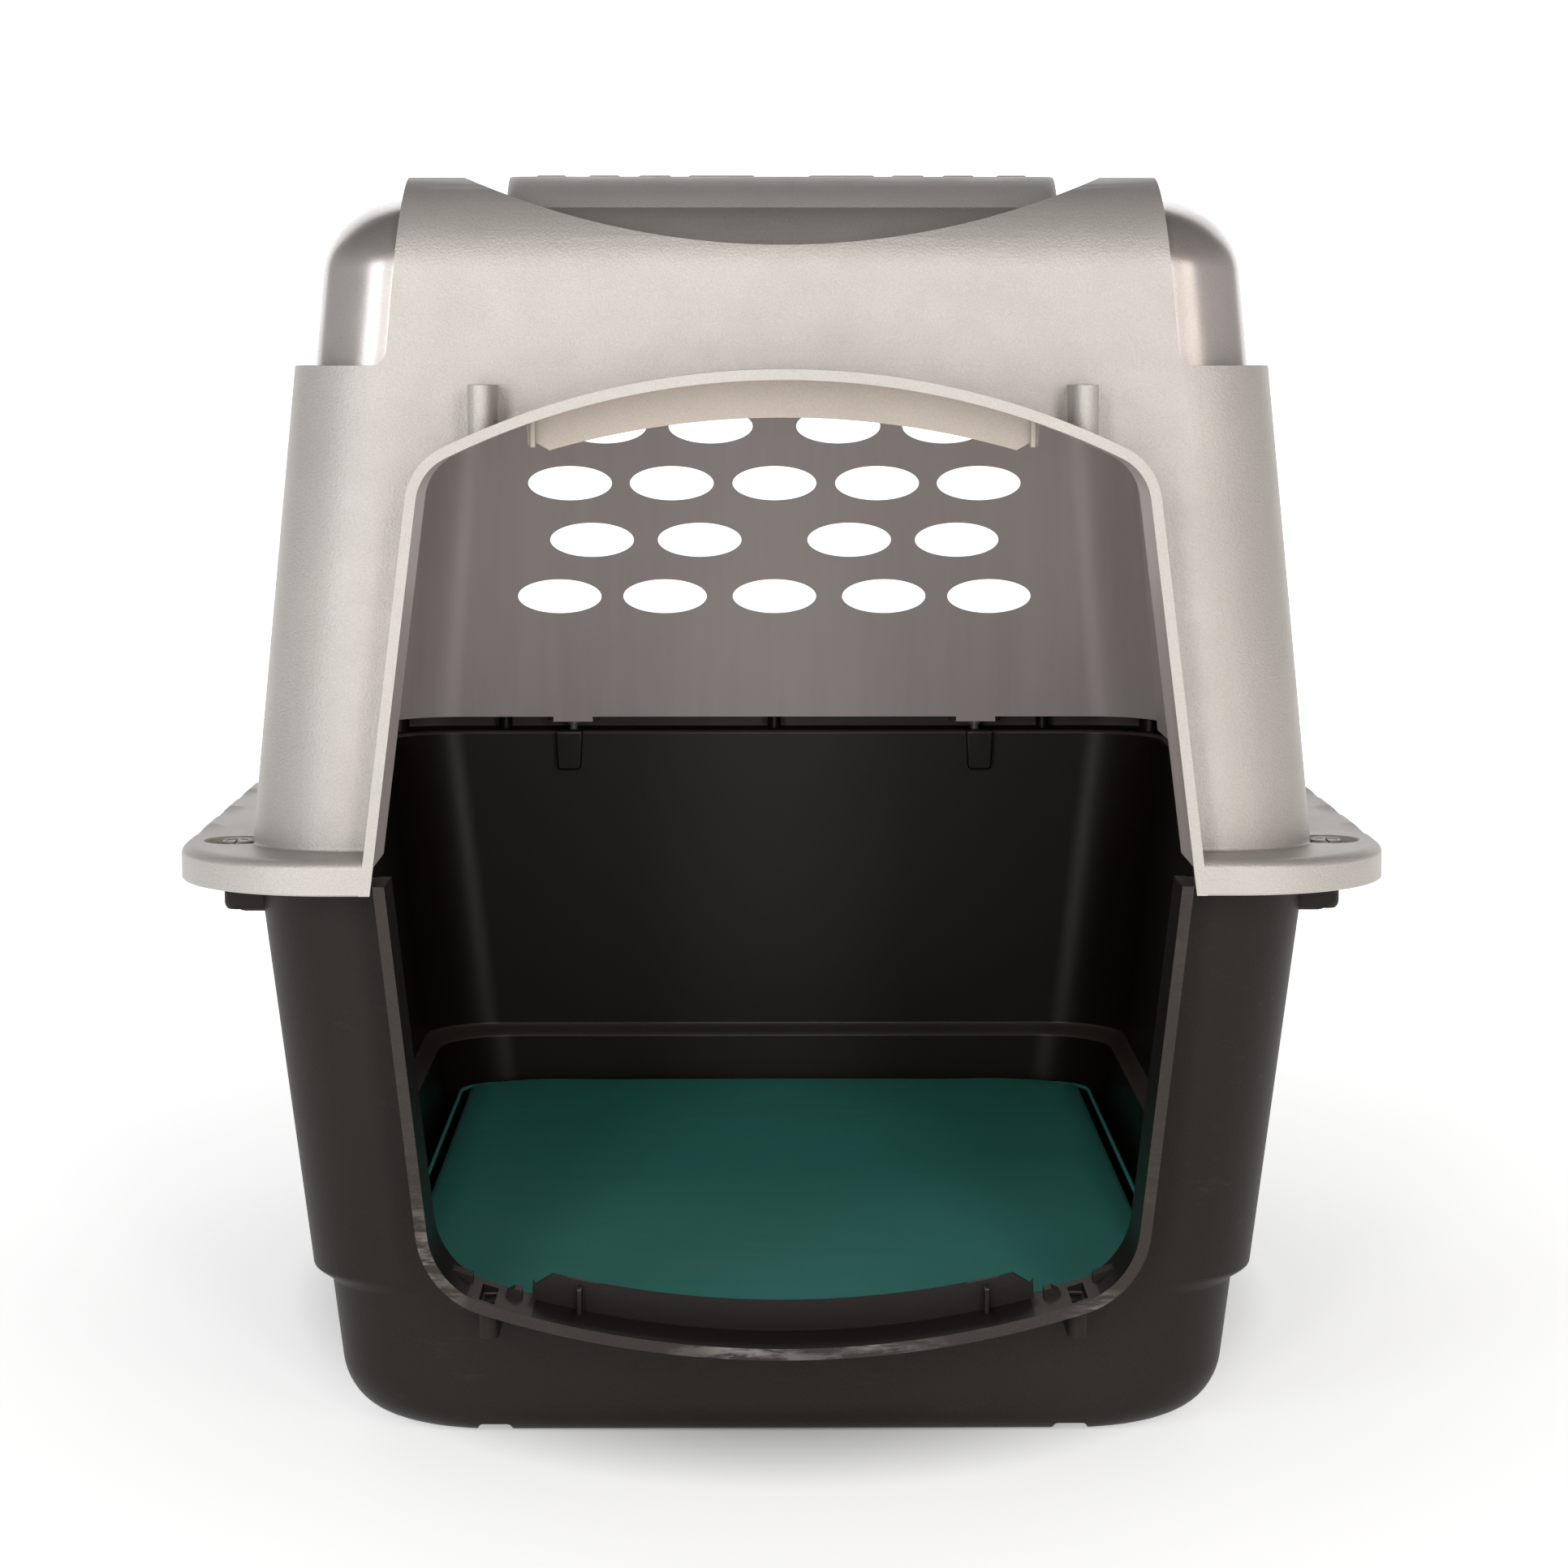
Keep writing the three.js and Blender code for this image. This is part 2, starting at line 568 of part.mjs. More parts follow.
function makeHood() {
  const skin = inset => join([smoothBody(inset), endFrames(inset), platformSlab(inset)]);
  const room = skin(WALL);
  const lip = stopLip(doorTop, LIP_TOP, 1);
  const outer = join([skin(0), platformRibs(), hoodFlange(), scallopBacking(), dishPads(),
    doorCollar(doorTop, HOOD_PLATE_Z - RIM_Z, 1), pinBosses(doorTop, PIN_BOSS_TOP, 1)]);
  const root = collarRoot(doorTop, 1);
  const cuts = [hoodVents(), pinBores(doorTop, PIN_BOSS_TOP, 1), scallopCutters(), dishCutters(),
    shaftHoles(SHAFT_RADIUS + SHAFT_CLEARANCE, PAD_UNDER - PAST, DISH_Z + PAST),
    doorCutter(doorTop, 1).subtract(lip)];
  return cuts.reduce((left, cut) => left.subtract(cut), outer.subtract(room).add(lip).add(root));
}

// ---------------------------------------------------------------- base
function baseLevels(inset) {
  const heights = roundRises(FOOT_ROUND).map(rise => FOOT_ROUND - rise).reverse();
  heights.push(STEP_Z - STEP_IN / 2, STEP_Z + STEP_IN / 2, PLATE_UNDER);
  const stepped = z => (z < STEP_Z ? STEP_IN : 0);
  return heights.map(z => {
    const side = drawnIn(FOOT_ROUND, Math.max(FOOT_ROUND - z, 0));
    const end = drawnIn(FOOT_END_ROUND, Math.max(FOOT_END_ROUND - z, 0));
    const front = BASE_END_DRAFT * (RIM_Z - z) + end;
    return {
      z: Math.max(z, inset),
      side: BASE_DRAFT * (RIM_Z - z) + stepped(z) + side,
      front,
      rear: front + stepped(z),
    };
  });
}

function trayBody() {
  return loft(roundedOutline(BASE_HALF_X, BASE_HALF_Y, CABIN_CORNER), baseLevels(0));
}

// The inside of the tray, one wall thickness in from the outside.
function trayRoom() {
  const levels = baseLevels(0).map(level => ({ ...level, z: level.z + TRAY_FLOOR }));
  levels.push({ ...levels[levels.length - 1], z: RIM_Z + PAST });
  return loft(roundedOutline(BASE_HALF_X - WALL, BASE_HALF_Y - WALL, CABIN_CORNER - WALL), levels);
}

function raisedFloor(inset, lowZ, highZ) {
  const [halfX, halfY] = [LOW_HALF_X - WALL - MOAT_SIDE, LOW_HALF_Y - WALL - MOAT_END];
  const outline = roundedOutline(halfX - inset, halfY - inset, MAT_CORNER - inset);
  return loft(outline, [flat(lowZ), flat(highZ)], 5);
}

function baseFlange() {
  const outline = flangeOutline(SKIRT_WALL + SKIRT_CLEARANCE);
  return loft(outline, [flat(PLATE_UNDER), flat(RIM_Z)]);
}

function seatPosts() {
  const edgeX = WIDTH / 2 - SKIRT_WALL - SKIRT_CLEARANCE - POST_IN;
  const edgeY = LENGTH / 2 - SKIRT_WALL - SKIRT_CLEARANCE - POST_IN;
  const top = HOOD_PLATE_Z - REST_GAP;
  const low = RIM_Z - FLANGE_PLATE / 2;
  const rearX = edgeX * REAR_POST_SHARE;
  const posts = [-rearX, 0, rearX].map(x => post(POST_RADIUS, low, top, x, edgeY, COARSE));
  const middle = scallopRow().length / 2 - 1;
  const gaps = row(scallopRow().length - 1, SCALLOP_PITCH).filter((_, i) => (i - middle) % 2 !== 0);
  for (const x of [-edgeX, edgeX]) {
    for (const y of gaps) {
      posts.push(post(POST_RADIUS, low, top, x, y, COARSE));
    }
  }
  for (const x of [CORNER_POST_IN - edgeX, edgeX - CORNER_POST_IN]) {
    for (const y of [CORNER_POST_IN - edgeY, edgeY - CORNER_POST_IN]) {
      posts.push(post(CORNER_POST_RADIUS, low, top, x, y, MEDIUM));
    }
  }
  return join(posts);
}

// A tube under each keyhole, tied to the wall by a web, that guards the turned lug.
function fastenerBosses() {
  const low = PLATE_UNDER - BOSS_DROP;
  const top = PLATE_UNDER + FLANGE_PLATE / 2;
  return join(fastenerPlaces().map(({ x, y, atRear }) => {
    const reach = FASTENER_OUT + BASE_TUCK + BASE_DRAFT * BOSS_DROP + WEB_INTO;
    const half = BOSS_RADIUS;
    const web = atRear
      ? box(x - half, x + half, y - reach, y, low, top)
      : box(Math.min(x, x - Math.sign(x) * reach), Math.max(x, x - Math.sign(x) * reach),
        y - half, y + half, low, top);
    return post(BOSS_RADIUS, low, top, x, y, MEDIUM).add(web);
  }));
}

function keyholes() {
  return join(fastenerPlaces().map(({ x, y }) => {
    const long = LUG_HALF + LUG_CLEARANCE;
    const wide = LUG_WIDE / 2 + LUG_CLEARANCE;
    const slot = box(x - wide, x + wide, y - long, y + long, PLATE_UNDER - PAST, RIM_Z + PAST);
    const eye = post(SHAFT_RADIUS + SHAFT_CLEARANCE, PLATE_UNDER - PAST, RIM_Z + PAST, x, y, COARSE);
    const room = post(long, PLATE_UNDER - BOSS_DROP - PAST, PLATE_UNDER, x, y, MEDIUM);
    return join([slot, eye, room]);
  }));
}

// Two open-topped pockets on the inside of the rear wall.
function rearPockets() {
  const wallY = BASE_HALF_Y - WALL - BASE_END_DRAFT * POCKET.tall;
  const low = RIM_Z - POCKET.tall;
  const pocketX = BASE_HALF_X - POCKET.inset;
  return join([-pocketX, pocketX].map(x => {
    const half = POCKET.wide / 2;
    const block = box(x - half, x + half, wallY - POCKET.deep, BASE_HALF_Y - WALL / 2, low, RIM_Z);
    const room = box(x - half + POCKET.wall, x + half - POCKET.wall,
      wallY - POCKET.deep + POCKET.wall, wallY, low + POCKET.wall, RIM_Z + PAST);
    return block.subtract(room);
  }));
}

function footNotches() {
  const { inset, wide, high, deep } = FOOT_NOTCH;
  const x = BASE_HALF_X - inset;
  return join([-x, x].map(at => box(at - wide / 2, at + wide / 2, FRONT_Y,
    -LOW_HALF_Y - STEP_IN + deep, -PAST, high)));
}

function makeBase() {
  const doorway = doorCutter(doorSill, -1);
  const collar = doorCollar(doorSill, 0, -1);
  const outer = join([trayBody(), baseFlange(), collar, fastenerBosses(),
    pinBosses(doorSill, PIN_BOSS_SILL, -1)]);
  const room = trayRoom().subtract(raisedFloor(0, 0, FLOOR_RAISED));
  const lip = stopLip(doorSill, LIP_SILL, -1);
  let base = outer.subtract(room).add(lip).add(seatPosts()).add(rearPockets());
  base = base.add(collarRoot(doorSill, -1).subtract(room));
  const cuts = [raisedFloor(WALL, -PAST, FLOOR_RAISED - WALL), keyholes(), footNotches(),
    pinBores(doorSill, PIN_BOSS_SILL, -1), doorway.subtract(lip)];
  return cuts.reduce((left, cut) => left.subtract(cut), base);
}

// ---------------------------------------------------------------- mat and fasteners
function makeMat() {
  const low = FLOOR_RAISED + REST_GAP;
  const halfX = LOW_HALF_X + BASE_DRAFT * FLOOR_RAISED - WALL - MAT_SIDE_GAP;
  const halfY = LOW_HALF_Y + BASE_END_DRAFT * FLOOR_RAISED - WALL - MAT_SIDE_GAP;
  const drawn = z => ({ z, side: MAT_EDGE, front: MAT_EDGE, rear: MAT_EDGE });
  const top = low + MAT_THICK;
  const levels = [drawn(low), flat(low + MAT_EDGE), flat(top - MAT_EDGE), drawn(top)];
  return loft(roundedOutline(halfX, halfY, MAT_CORNER), levels, 6);
}

// Built about its own axis; the lug lies along Y, in line with its keyhole.
function makeFastener() {
  const headLow = DISH_Z + REST_GAP;
  const headTop = headLow + HEAD_THICK;
  const lugLow = LUG_TOP - LUG_THICK;
  const head = post(HEAD_RADIUS, headLow, headTop, 0, 0);
  const slot = box(-SLOT_WIDE / 2, SLOT_WIDE / 2, -HEAD_RADIUS - PAST, HEAD_RADIUS + PAST,
    headTop - SLOT_DEEP, headTop + PAST);
  const shaft = post(SHAFT_RADIUS, lugLow, headLow + (HEAD_THICK - SLOT_DEEP) / 2, 0, 0, COARSE);
  const catchTop = PAD_UNDER - REST_GAP;
  const retainer = post(CATCH_RADIUS, catchTop - CATCH_THICK, catchTop, 0, 0, COARSE);
  const lug = box(-LUG_WIDE / 2, LUG_WIDE / 2, -LUG_HALF, LUG_HALF, lugLow, LUG_TOP);
  return join([head.subtract(slot), shaft, retainer, lug]);
}

// ---------------------------------------------------------------- the object
const plastic = (color, roughness) => new THREE.MeshStandardMaterial({ color, roughness, metalness: 0 });

function piece(name, solid, material, x = 0, y = 0) {
  const mesh = new THREE.Mesh(toGeometry(solid), material);
  mesh.name = name;
  mesh.position.set(x, y, 0);
  return mesh;
}

const cabin = new THREE.Group();
cabin.add(piece('base_shell', makeBase(), plastic(0x2e2622, 0.5)));
cabin.add(piece('hood_shell', makeHood(), plastic(0xb8afa6, 0.45)));
cabin.add(piece('floor_mat', makeMat(), plastic(0x1c544a, 0.55)));
for (const { name, x, y } of fastenerPlaces()) {
  cabin.add(piece(name, makeFastener(), plastic(0x8d847b, 0.5), x, y));
}

export default cabin;
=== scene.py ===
# %% [markdown]
# # A hooded cabin for a cat
# The real object is two plastic mouldings: a deep dark tray, and a pearl taupe hood that drops onto
# the tray's rim. A teal pad lies on the floor, and eight slotted fasteners hold the rims together.
# The imported CAD model gives every place and size, so it is loaded first and never changed.

import math

import bmesh
import bpy
from mathutils import Matrix, Vector


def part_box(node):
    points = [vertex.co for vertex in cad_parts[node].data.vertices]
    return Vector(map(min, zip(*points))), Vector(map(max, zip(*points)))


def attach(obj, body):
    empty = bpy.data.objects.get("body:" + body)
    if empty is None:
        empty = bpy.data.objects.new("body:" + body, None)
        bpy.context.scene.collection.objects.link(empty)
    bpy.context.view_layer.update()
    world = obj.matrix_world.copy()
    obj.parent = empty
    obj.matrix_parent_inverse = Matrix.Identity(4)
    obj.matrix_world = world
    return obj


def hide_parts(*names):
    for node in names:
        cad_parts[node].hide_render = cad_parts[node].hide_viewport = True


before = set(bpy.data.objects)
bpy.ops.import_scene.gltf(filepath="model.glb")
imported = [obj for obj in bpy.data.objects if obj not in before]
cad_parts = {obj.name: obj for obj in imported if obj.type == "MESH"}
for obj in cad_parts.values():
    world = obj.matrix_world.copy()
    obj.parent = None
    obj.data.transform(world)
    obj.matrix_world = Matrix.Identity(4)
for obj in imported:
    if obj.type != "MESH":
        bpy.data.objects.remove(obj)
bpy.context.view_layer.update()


# %% Object helpers
def placed(name, data):
    """A new object in the scene, at the origin."""
    made = bpy.data.objects.new(name, data)
    bpy.context.scene.collection.objects.link(made)
    return made


def evaluated(body):
    """A new mesh of an object as its modifiers leave it."""
    graph = bpy.context.evaluated_depsgraph_get()
    return bpy.data.meshes.new_from_object(body.evaluated_get(graph))


def apply_modifiers(body):
    body.data = evaluated(body)
    body.modifiers.clear()


def shade_smooth(body):
    body.data.polygons.foreach_set("use_smooth", [True] * len(body.data.polygons))


print("object helpers ready")

# %% [markdown]
# ## Camera
# A camera is set before anything else, so that each new piece can be judged from one fixed view. It
# stands about 1.9 m in front of the object, a little below the roof, and tilts down by 6 degrees.
# A long lens keeps the doorway's sides nearly parallel, as a product view does.

# %% The camera
camera_data = bpy.data.cameras.new("camera")
camera_data.lens = 87.66
camera_data.sensor_width = 36
TILT_DOWN = 0.1116
camera = placed("camera", camera_data)
camera.location = (-0.01288, -1.944, 0.4685)
camera.rotation_euler = (math.radians(90) - TILT_DOWN, 0, -0.0082)
bpy.context.scene.camera = camera
print("camera tilt", round(math.degrees(TILT_DOWN), 1), "degrees down")

# %% [markdown]
# ## Sizes
# The shells are drawn in millimetres, because a wall of 2.8 is easier to read than 0.0028, and are
# brought to metres when they are finished. The overall sizes come from the CAD nodes' boxes. The
# others repeat the CAD's own numbers, and each has the name that it has there.

# %% Overall sizes
MM = 0.001
hood_low, hood_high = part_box("hood_shell")
mat_low, mat_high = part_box("floor_mat")
WIDTH = (hood_high.x - hood_low.x) / MM
LENGTH = (hood_high.y - hood_low.y) / MM
HEIGHT = hood_high.z / MM
FRONT_Y = hood_low.y / MM
RIM_Z = 247
WALL = 2.8
PAST = 5
print("width, length, height", round(WIDTH, 1), round(LENGTH, 1), round(HEIGHT, 1))

# %% Sizes of the hood
HOOD_PLATE_Z = 255
FLANGE_TOP = 258
SKIRT_Z = 243
FLANGE_CORNER = 70
HOOD_HALF_X = WIDTH / 2 - 30.5
HOOD_HALF_Y = LENGTH / 2 - 30
HOOD_DRAFT = 0.0935
HOOD_END_DRAFT = 0.06
CABIN_CORNER = 45
ROOT_FILLET = 3
FRAME_PROUD = 9
PLATFORM_TOP = HEIGHT - 1.3
FRAME_TOP = PLATFORM_TOP - 1.2
ROOF_TOP = FRAME_TOP - FRAME_PROUD
ROOF_ROUND = 31
FRAME_ROUND = 40
SHOULDER_Z = ROOF_TOP - 72
COLUMN_INNER = HOOD_HALF_Y - 90
FRAME_INNER = HOOD_HALF_Y - 135
WINDOW_WIDTH = 43
PLATFORM_ROUND = 45
print("shoulder at", round(SHOULDER_Z, 1), "roof at", round(ROOF_TOP, 1))


# %% Widths at a height
def wide_x(z):
    return HOOD_HALF_X - HOOD_DRAFT * (z - HOOD_PLATE_Z)


def wide_y(z):
    return HOOD_HALF_Y - HOOD_END_DRAFT * (z - HOOD_PLATE_Z)


def band_x(z):
    return wide_x(z) - WINDOW_WIDTH


SMILE_DROP = 30
SMILE_HALF = band_x(FRAME_TOP) - 23.4
SMILE_RADIUS = (SMILE_HALF**2 + SMILE_DROP**2) / (2 * SMILE_DROP)
PLATFORM_HALF = SMILE_HALF - 18.9
PLATFORM_HALF_Y = wide_y(PLATFORM_TOP - PLATFORM_ROUND) - 14
print("smile radius", round(SMILE_RADIUS, 1), "platform half width", round(PLATFORM_HALF, 1))

# %% Sizes of the doorway
DOOR_TOP = {"half": 177.9, "apex": 216.2, "lean": 0.127, "arch": 325, "round": 27, "wall": 4.5}
DOOR_SILL = {"half": 172.7, "apex": 203.6, "lean": 0.11, "arch": 420, "round": 40, "wall": 5}
COLLAR_BACK = 2 * WALL - wide_y(RIM_Z + DOOR_TOP["apex"])
LIP_Y = FRONT_Y + 31
LIP_WALL = 3
PIN_X = 126.5
PIN_Y = FRONT_Y + 16
print("collar runs from", round(FRONT_Y, 1), "to", round(COLLAR_BACK, 1))

# %% Sizes of the tray
BASE_HALF_X = HOOD_HALF_X - 2.3
BASE_HALF_Y = HOOD_HALF_Y
BASE_DRAFT = 0.117
BASE_END_DRAFT = 0.035
PLATE_UNDER = 244
LEDGE_LOW = 62
LEDGE_RISE = 7
STEP_IN = 7.5
FOOT_ROUND = 26
FOOT_END_ROUND = 12
FLOOR_RAISED = 28.7
LOW_HALF_X = BASE_HALF_X - BASE_DRAFT * RIM_Z - STEP_IN
LOW_HALF_Y = BASE_HALF_Y - BASE_END_DRAFT * RIM_Z - STEP_IN
print("tray half width at the ground", round(LOW_HALF_X - FOOT_ROUND, 1))

# %% [markdown]
# ## Finishes
# Moulded plastic is never one flat colour. Its frames are spark-eroded to a fine pebble grain that
# breaks up the light, the panels between them are polished and show it, and the inside of a shell is
# satin. The taupe holds a little pearl pigment, so it is given some metallic share: faces that turn
# away from the light then go dark and brown, as the real ones do. Each finish is a node tree on
# Object coordinates, with colour, roughness and bump of its own.


# %% Starting a finish
def new_finish(name):
    finish = bpy.data.materials.new(name)
    finish.use_nodes = True
    tree = finish.node_tree
    shader = tree.nodes["Principled BSDF"]
    coordinates = tree.nodes.new("ShaderNodeTexCoord")
    return finish, tree, shader, coordinates.outputs["Object"]


def noise_node(tree, where, scale, detail=2.0, rough=0.5, stretch=(1, 1, 1)):
    """A noise pattern in metres, stretched along an axis where its share is under one."""
    mapping = tree.nodes.new("ShaderNodeMapping")
    mapping.inputs["Scale"].default_value = stretch
    texture = tree.nodes.new("ShaderNodeTexNoise")
    texture.inputs["Scale"].default_value = scale
    texture.inputs["Detail"].default_value = detail
    texture.inputs["Roughness"].default_value = rough
    tree.links.new(where, mapping.inputs["Vector"])
    tree.links.new(mapping.outputs["Vector"], texture.inputs["Vector"])
    return texture.outputs["Fac"]


def ramp_node(tree, factor, stops):
    """A colour ramp from (place, colour) stops."""
    node = tree.nodes.new("ShaderNodeValToRGB")
    elements = node.color_ramp.elements
    while len(elements) < len(stops):
        elements.new(0.5)
    for element, (place, colour) in zip(elements, stops):
        element.position = place
        element.color = (*colour, 1)
    tree.links.new(factor, node.inputs["Fac"])
    return node.outputs["Color"]


def mix_node(tree, factor, low, high, blend="MIX"):
    """A colour mix. low and high are sockets or plain colours, factor a socket or a number."""
    node = tree.nodes.new("ShaderNodeMix")
    node.data_type = "RGBA"
    node.blend_type = blend
    for socket, value in ((node.inputs[0], factor), (node.inputs[6], low), (node.inputs[7], high)):
        if isinstance(value, bpy.types.NodeSocket):
            tree.links.new(value, socket)
        elif isinstance(value, tuple):
            socket.default_value = (*value, 1)
        else:
            socket.default_value = value
    return node.outputs[2]


def range_node(tree, value, low, high, to_low, to_high):
    """A number carried from one range to another, and held inside it."""
    node = tree.nodes.new("ShaderNodeMapRange")
    node.inputs["From Min"].default_value = low
    node.inputs["From Max"].default_value = high
    node.inputs["To Min"].default_value = to_low
    node.inputs["To Max"].default_value = to_high
    tree.links.new(value, node.inputs["Value"])
    return node.outputs["Result"]


def bump_node(tree, height, distance, strength=1.0, under=None):
    node = tree.nodes.new("ShaderNodeBump")
    node.inputs["Strength"].default_value = strength
    node.inputs["Distance"].default_value = distance
    tree.links.new(height, node.inputs["Height"])
    if under is not None:
        tree.links.new(under, node.inputs["Normal"])
    return node.outputs["Normal"]


def two_tone(tree, where, scale, detail, edge, dark, light):
    """Two tones that drift into each other, changing over from edge to 1 - edge."""
    cloud = noise_node(tree, where, scale, detail)
    return cloud, mix_node(tree, range_node(tree, cloud, edge, 1 - edge, 0, 1), dark, light)


def flecked_node(tree, tone, pattern, dim, bright):
    """A tone multiplied by a grey that a pattern moves between two (place, value) stops."""
    flecks = ramp_node(tree, pattern, [(place, (grey,) * 3) for place, grey in (dim, bright)])
    return mix_node(tree, 1.0, tone, flecks, "MULTIPLY")


def product_node(tree, first, second):
    node = tree.nodes.new("ShaderNodeMath")
    node.operation = "MULTIPLY"
    tree.links.new(first, node.inputs[0])
    tree.links.new(second, node.inputs[1])
    return node.outputs[0]


print("finish helpers ready")

# %% [markdown]
# The grained taupe covers the frames, the platform and the flange. A real texture of this kind has
# pebbles of about half a millimetre, with larger, weaker cloudiness from the flow of the melt. Two
# noises give the pebbles their colour speckle and their height, and a third drifts the colour.


# %% Taupe finishes
def taupe(name, light, dark, rough, metal, pebble, coat=0.0):
    """Pearl taupe plastic. pebble is the height of its grain in millimetres."""
    finish, tree, shader, where = new_finish(name)
    tone = two_tone(tree, where, 9, 3, 0.35, dark, light)[1]
    flecked = flecked_node(tree, tone, noise_node(tree, where, 1500, 2), (0.3, 0.86), (0.7, 1.0))
    tree.links.new(flecked, shader.inputs["Base Color"])
    patches = noise_node(tree, where, 60, 4)
    spread = range_node(tree, patches, 0.3, 0.7, rough - 0.03, rough + 0.04)
    tree.links.new(spread, shader.inputs["Roughness"])
    shader.inputs["Metallic"].default_value = metal
    shader.inputs["Coat Weight"].default_value = coat
    shader.inputs["Coat Roughness"].default_value = 0.2
    grain = noise_node(tree, where, 950, 2, 0.6)
    tree.links.new(bump_node(tree, grain, pebble * MM), shader.inputs["Normal"])
    return finish


grained_taupe = taupe("grained_taupe", (0.545, 0.51, 0.475), (0.5, 0.465, 0.435), 0.43, 0.35, 0.2)
glossy_taupe = taupe("glossy_taupe", (0.6, 0.545, 0.52), (0.56, 0.51, 0.485), 0.29, 0.65, 0.006, 0.5)
# Painted highlight: the bead finish is a little lighter than the frames, for the thin light line along the
# collar's rim and the vents' cut walls.
bead_taupe_highlight = taupe("bead_taupe_highlight", (0.56, 0.53, 0.495), (0.525, 0.495, 0.46), 0.42, 0.1, 0.06)
lip_taupe = taupe("lip_taupe", (0.46, 0.40, 0.345), (0.42, 0.365, 0.315), 0.42, 0.1, 0.05)
print("taupe finishes", [m.name for m in bpy.data.materials if "taupe" in m.name])

# %% [markdown]
# Inside the hood the same plastic is satin, and it is given a darker colour than outside, which paints the
# shade inside the hood. Its flow lines run up and down the walls from the gate in the roof, so a noise
# that is stretched along Z streaks the colour and the roughness a little. The wall is thin enough to let
# some daylight through, and that light is painted as a weak emission, which makes the inside glow.


# %% Taupe inside
def inside_shade_and_glow_finish():
    finish, tree, shader, where = new_finish("inside_taupe_shade_and_glow")
    # Painted shade: a darker colour than outside, for the shade inside the hood.
    tone = two_tone(tree, where, 7, 3, 0.3, (0.33, 0.288, 0.268), (0.38, 0.332, 0.31))[1]
    streak = noise_node(tree, where, 45, 3, 0.55, (1, 1, 0.06))
    streaked = flecked_node(tree, tone, streak, (0.35, 0.9), (0.65, 1.06))
    tree.links.new(streaked, shader.inputs["Base Color"])
    tree.links.new(range_node(tree, streak, 0.3, 0.7, 0.36, 0.44), shader.inputs["Roughness"])
    shader.inputs["Metallic"].default_value = 0.2
    # Painted light: a weak emission makes the inside glow, in place of daylight through the thin wall.
    shader.inputs["Emission Color"].default_value = (0.30, 0.262, 0.25, 1)
    shader.inputs["Emission Strength"].default_value = 0.22
    ripple = noise_node(tree, where, 420, 2)
    tree.links.new(bump_node(tree, ripple, 0.04 * MM), shader.inputs["Normal"])
    return finish


inside_taupe_shade_and_glow = inside_shade_and_glow_finish()
# Painted shade: the same taupe made far darker, for the faces under the flange and the dishes' pads, where
# little light reaches.
under_taupe_painted_shade = taupe("under_taupe_painted_shade", (0.12, 0.104, 0.096), (0.1, 0.087, 0.08), 0.5, 0.1, 0.05)
print("finishes", inside_taupe_shade_and_glow.name, "and", under_taupe_painted_shade.name, "under the flange")

# %% [markdown]
# The tray is dark brown and satin. Claws, shoes and floors leave it with hair-thin scratches and a
# dusting of pale scuffs, mostly low down and along the sill. The scratches are one very stretched
# noise, cut off so that only its crests show. The scuffs along the sill get a finish of their own,
# where the same idea is denser and follows the edge.


# %% Brown finishes
def brown(name, dark, light, rough, pebble, scuff_amount, scuff_low=0.58, below=None, gleam=0.2):
    """Dark plastic with pale scuffs, which show by scuff_amount and fade above a height if given."""
    finish, tree, shader, where = new_finish(name)
    cloud, tone = two_tone(tree, where, 8, 3, 0.3, dark, light)
    speckle = noise_node(tree, where, 1300, 2)
    flecked = flecked_node(tree, tone, speckle, (0.3, 0.8), (0.72, 1.15))
    marks = noise_node(tree, where, 130, 6, 0.7, (0.3, 1, 1.6))
    patch = noise_node(tree, where, 14, 2)
    worn_by = product_node(tree, range_node(tree, marks, scuff_low, scuff_low + 0.14, 0, scuff_amount),
                           range_node(tree, patch, 0.45, 0.6, 0, 1))
    if below is not None:
        split = tree.nodes.new("ShaderNodeSeparateXYZ")
        tree.links.new(where, split.inputs[0])
        low, high = below * MM, below * 1.5 * MM
        worn_by = product_node(tree, worn_by, range_node(tree, split.outputs["Z"], low, high, 1, 0.06))
    worn = mix_node(tree, worn_by, flecked, (0.30, 0.28, 0.26))
    tree.links.new(worn, shader.inputs["Base Color"])
    rough_map = range_node(tree, cloud, 0.35, 0.7, rough - 0.02, rough + 0.03)
    tree.links.new(rough_map, shader.inputs["Roughness"])
    shader.inputs["Specular IOR Level"].default_value = gleam
    grain = noise_node(tree, where, 800, 2, 0.6)
    tree.links.new(bump_node(tree, grain, pebble * MM), shader.inputs["Normal"])
    return finish


grained_brown = brown("grained_brown", (0.013, 0.0093, 0.0072), (0.018, 0.013, 0.0102),
                      0.5, 0.12, 0.05)
smooth_brown = brown("smooth_brown", (0.010, 0.0070, 0.0056), (0.0135, 0.0096, 0.0082),
                     0.36, 0.012, 0.03, 0.66, gleam=0.24)
# Painted highlight: a lighter, glossier brown with a few scuffs, for the upward faces of the ledge and the
# rim's edge, where light catches them.
highlight_brown = brown("highlight_brown", (0.05, 0.040, 0.034), (0.066, 0.054, 0.046),
                   0.34, 0.012, 0.1, 0.6, gleam=0.5)
sill_brown = brown("sill_brown", (0.03, 0.024, 0.020), (0.042, 0.034, 0.029),
                   0.4, 0.03, 0.6, 0.46, 80)
print("brown finishes", [m.name for m in bpy.data.materials if "brown" in m.name])

# %% [markdown]
# ## Shape helpers
# Nearly every surface here starts as a flat outline that is pulled up in levels, each drawn in a
# little: that is how a moulded wall gets its draft and its rounded edge in one go. Cylinders and
# ellipses are cones with equal ends. Pieces are joined and cut by exact booleans, and each face keeps
# the finish of the shape that it came from, so a cut through a glossy wall shows the cutter's finish.


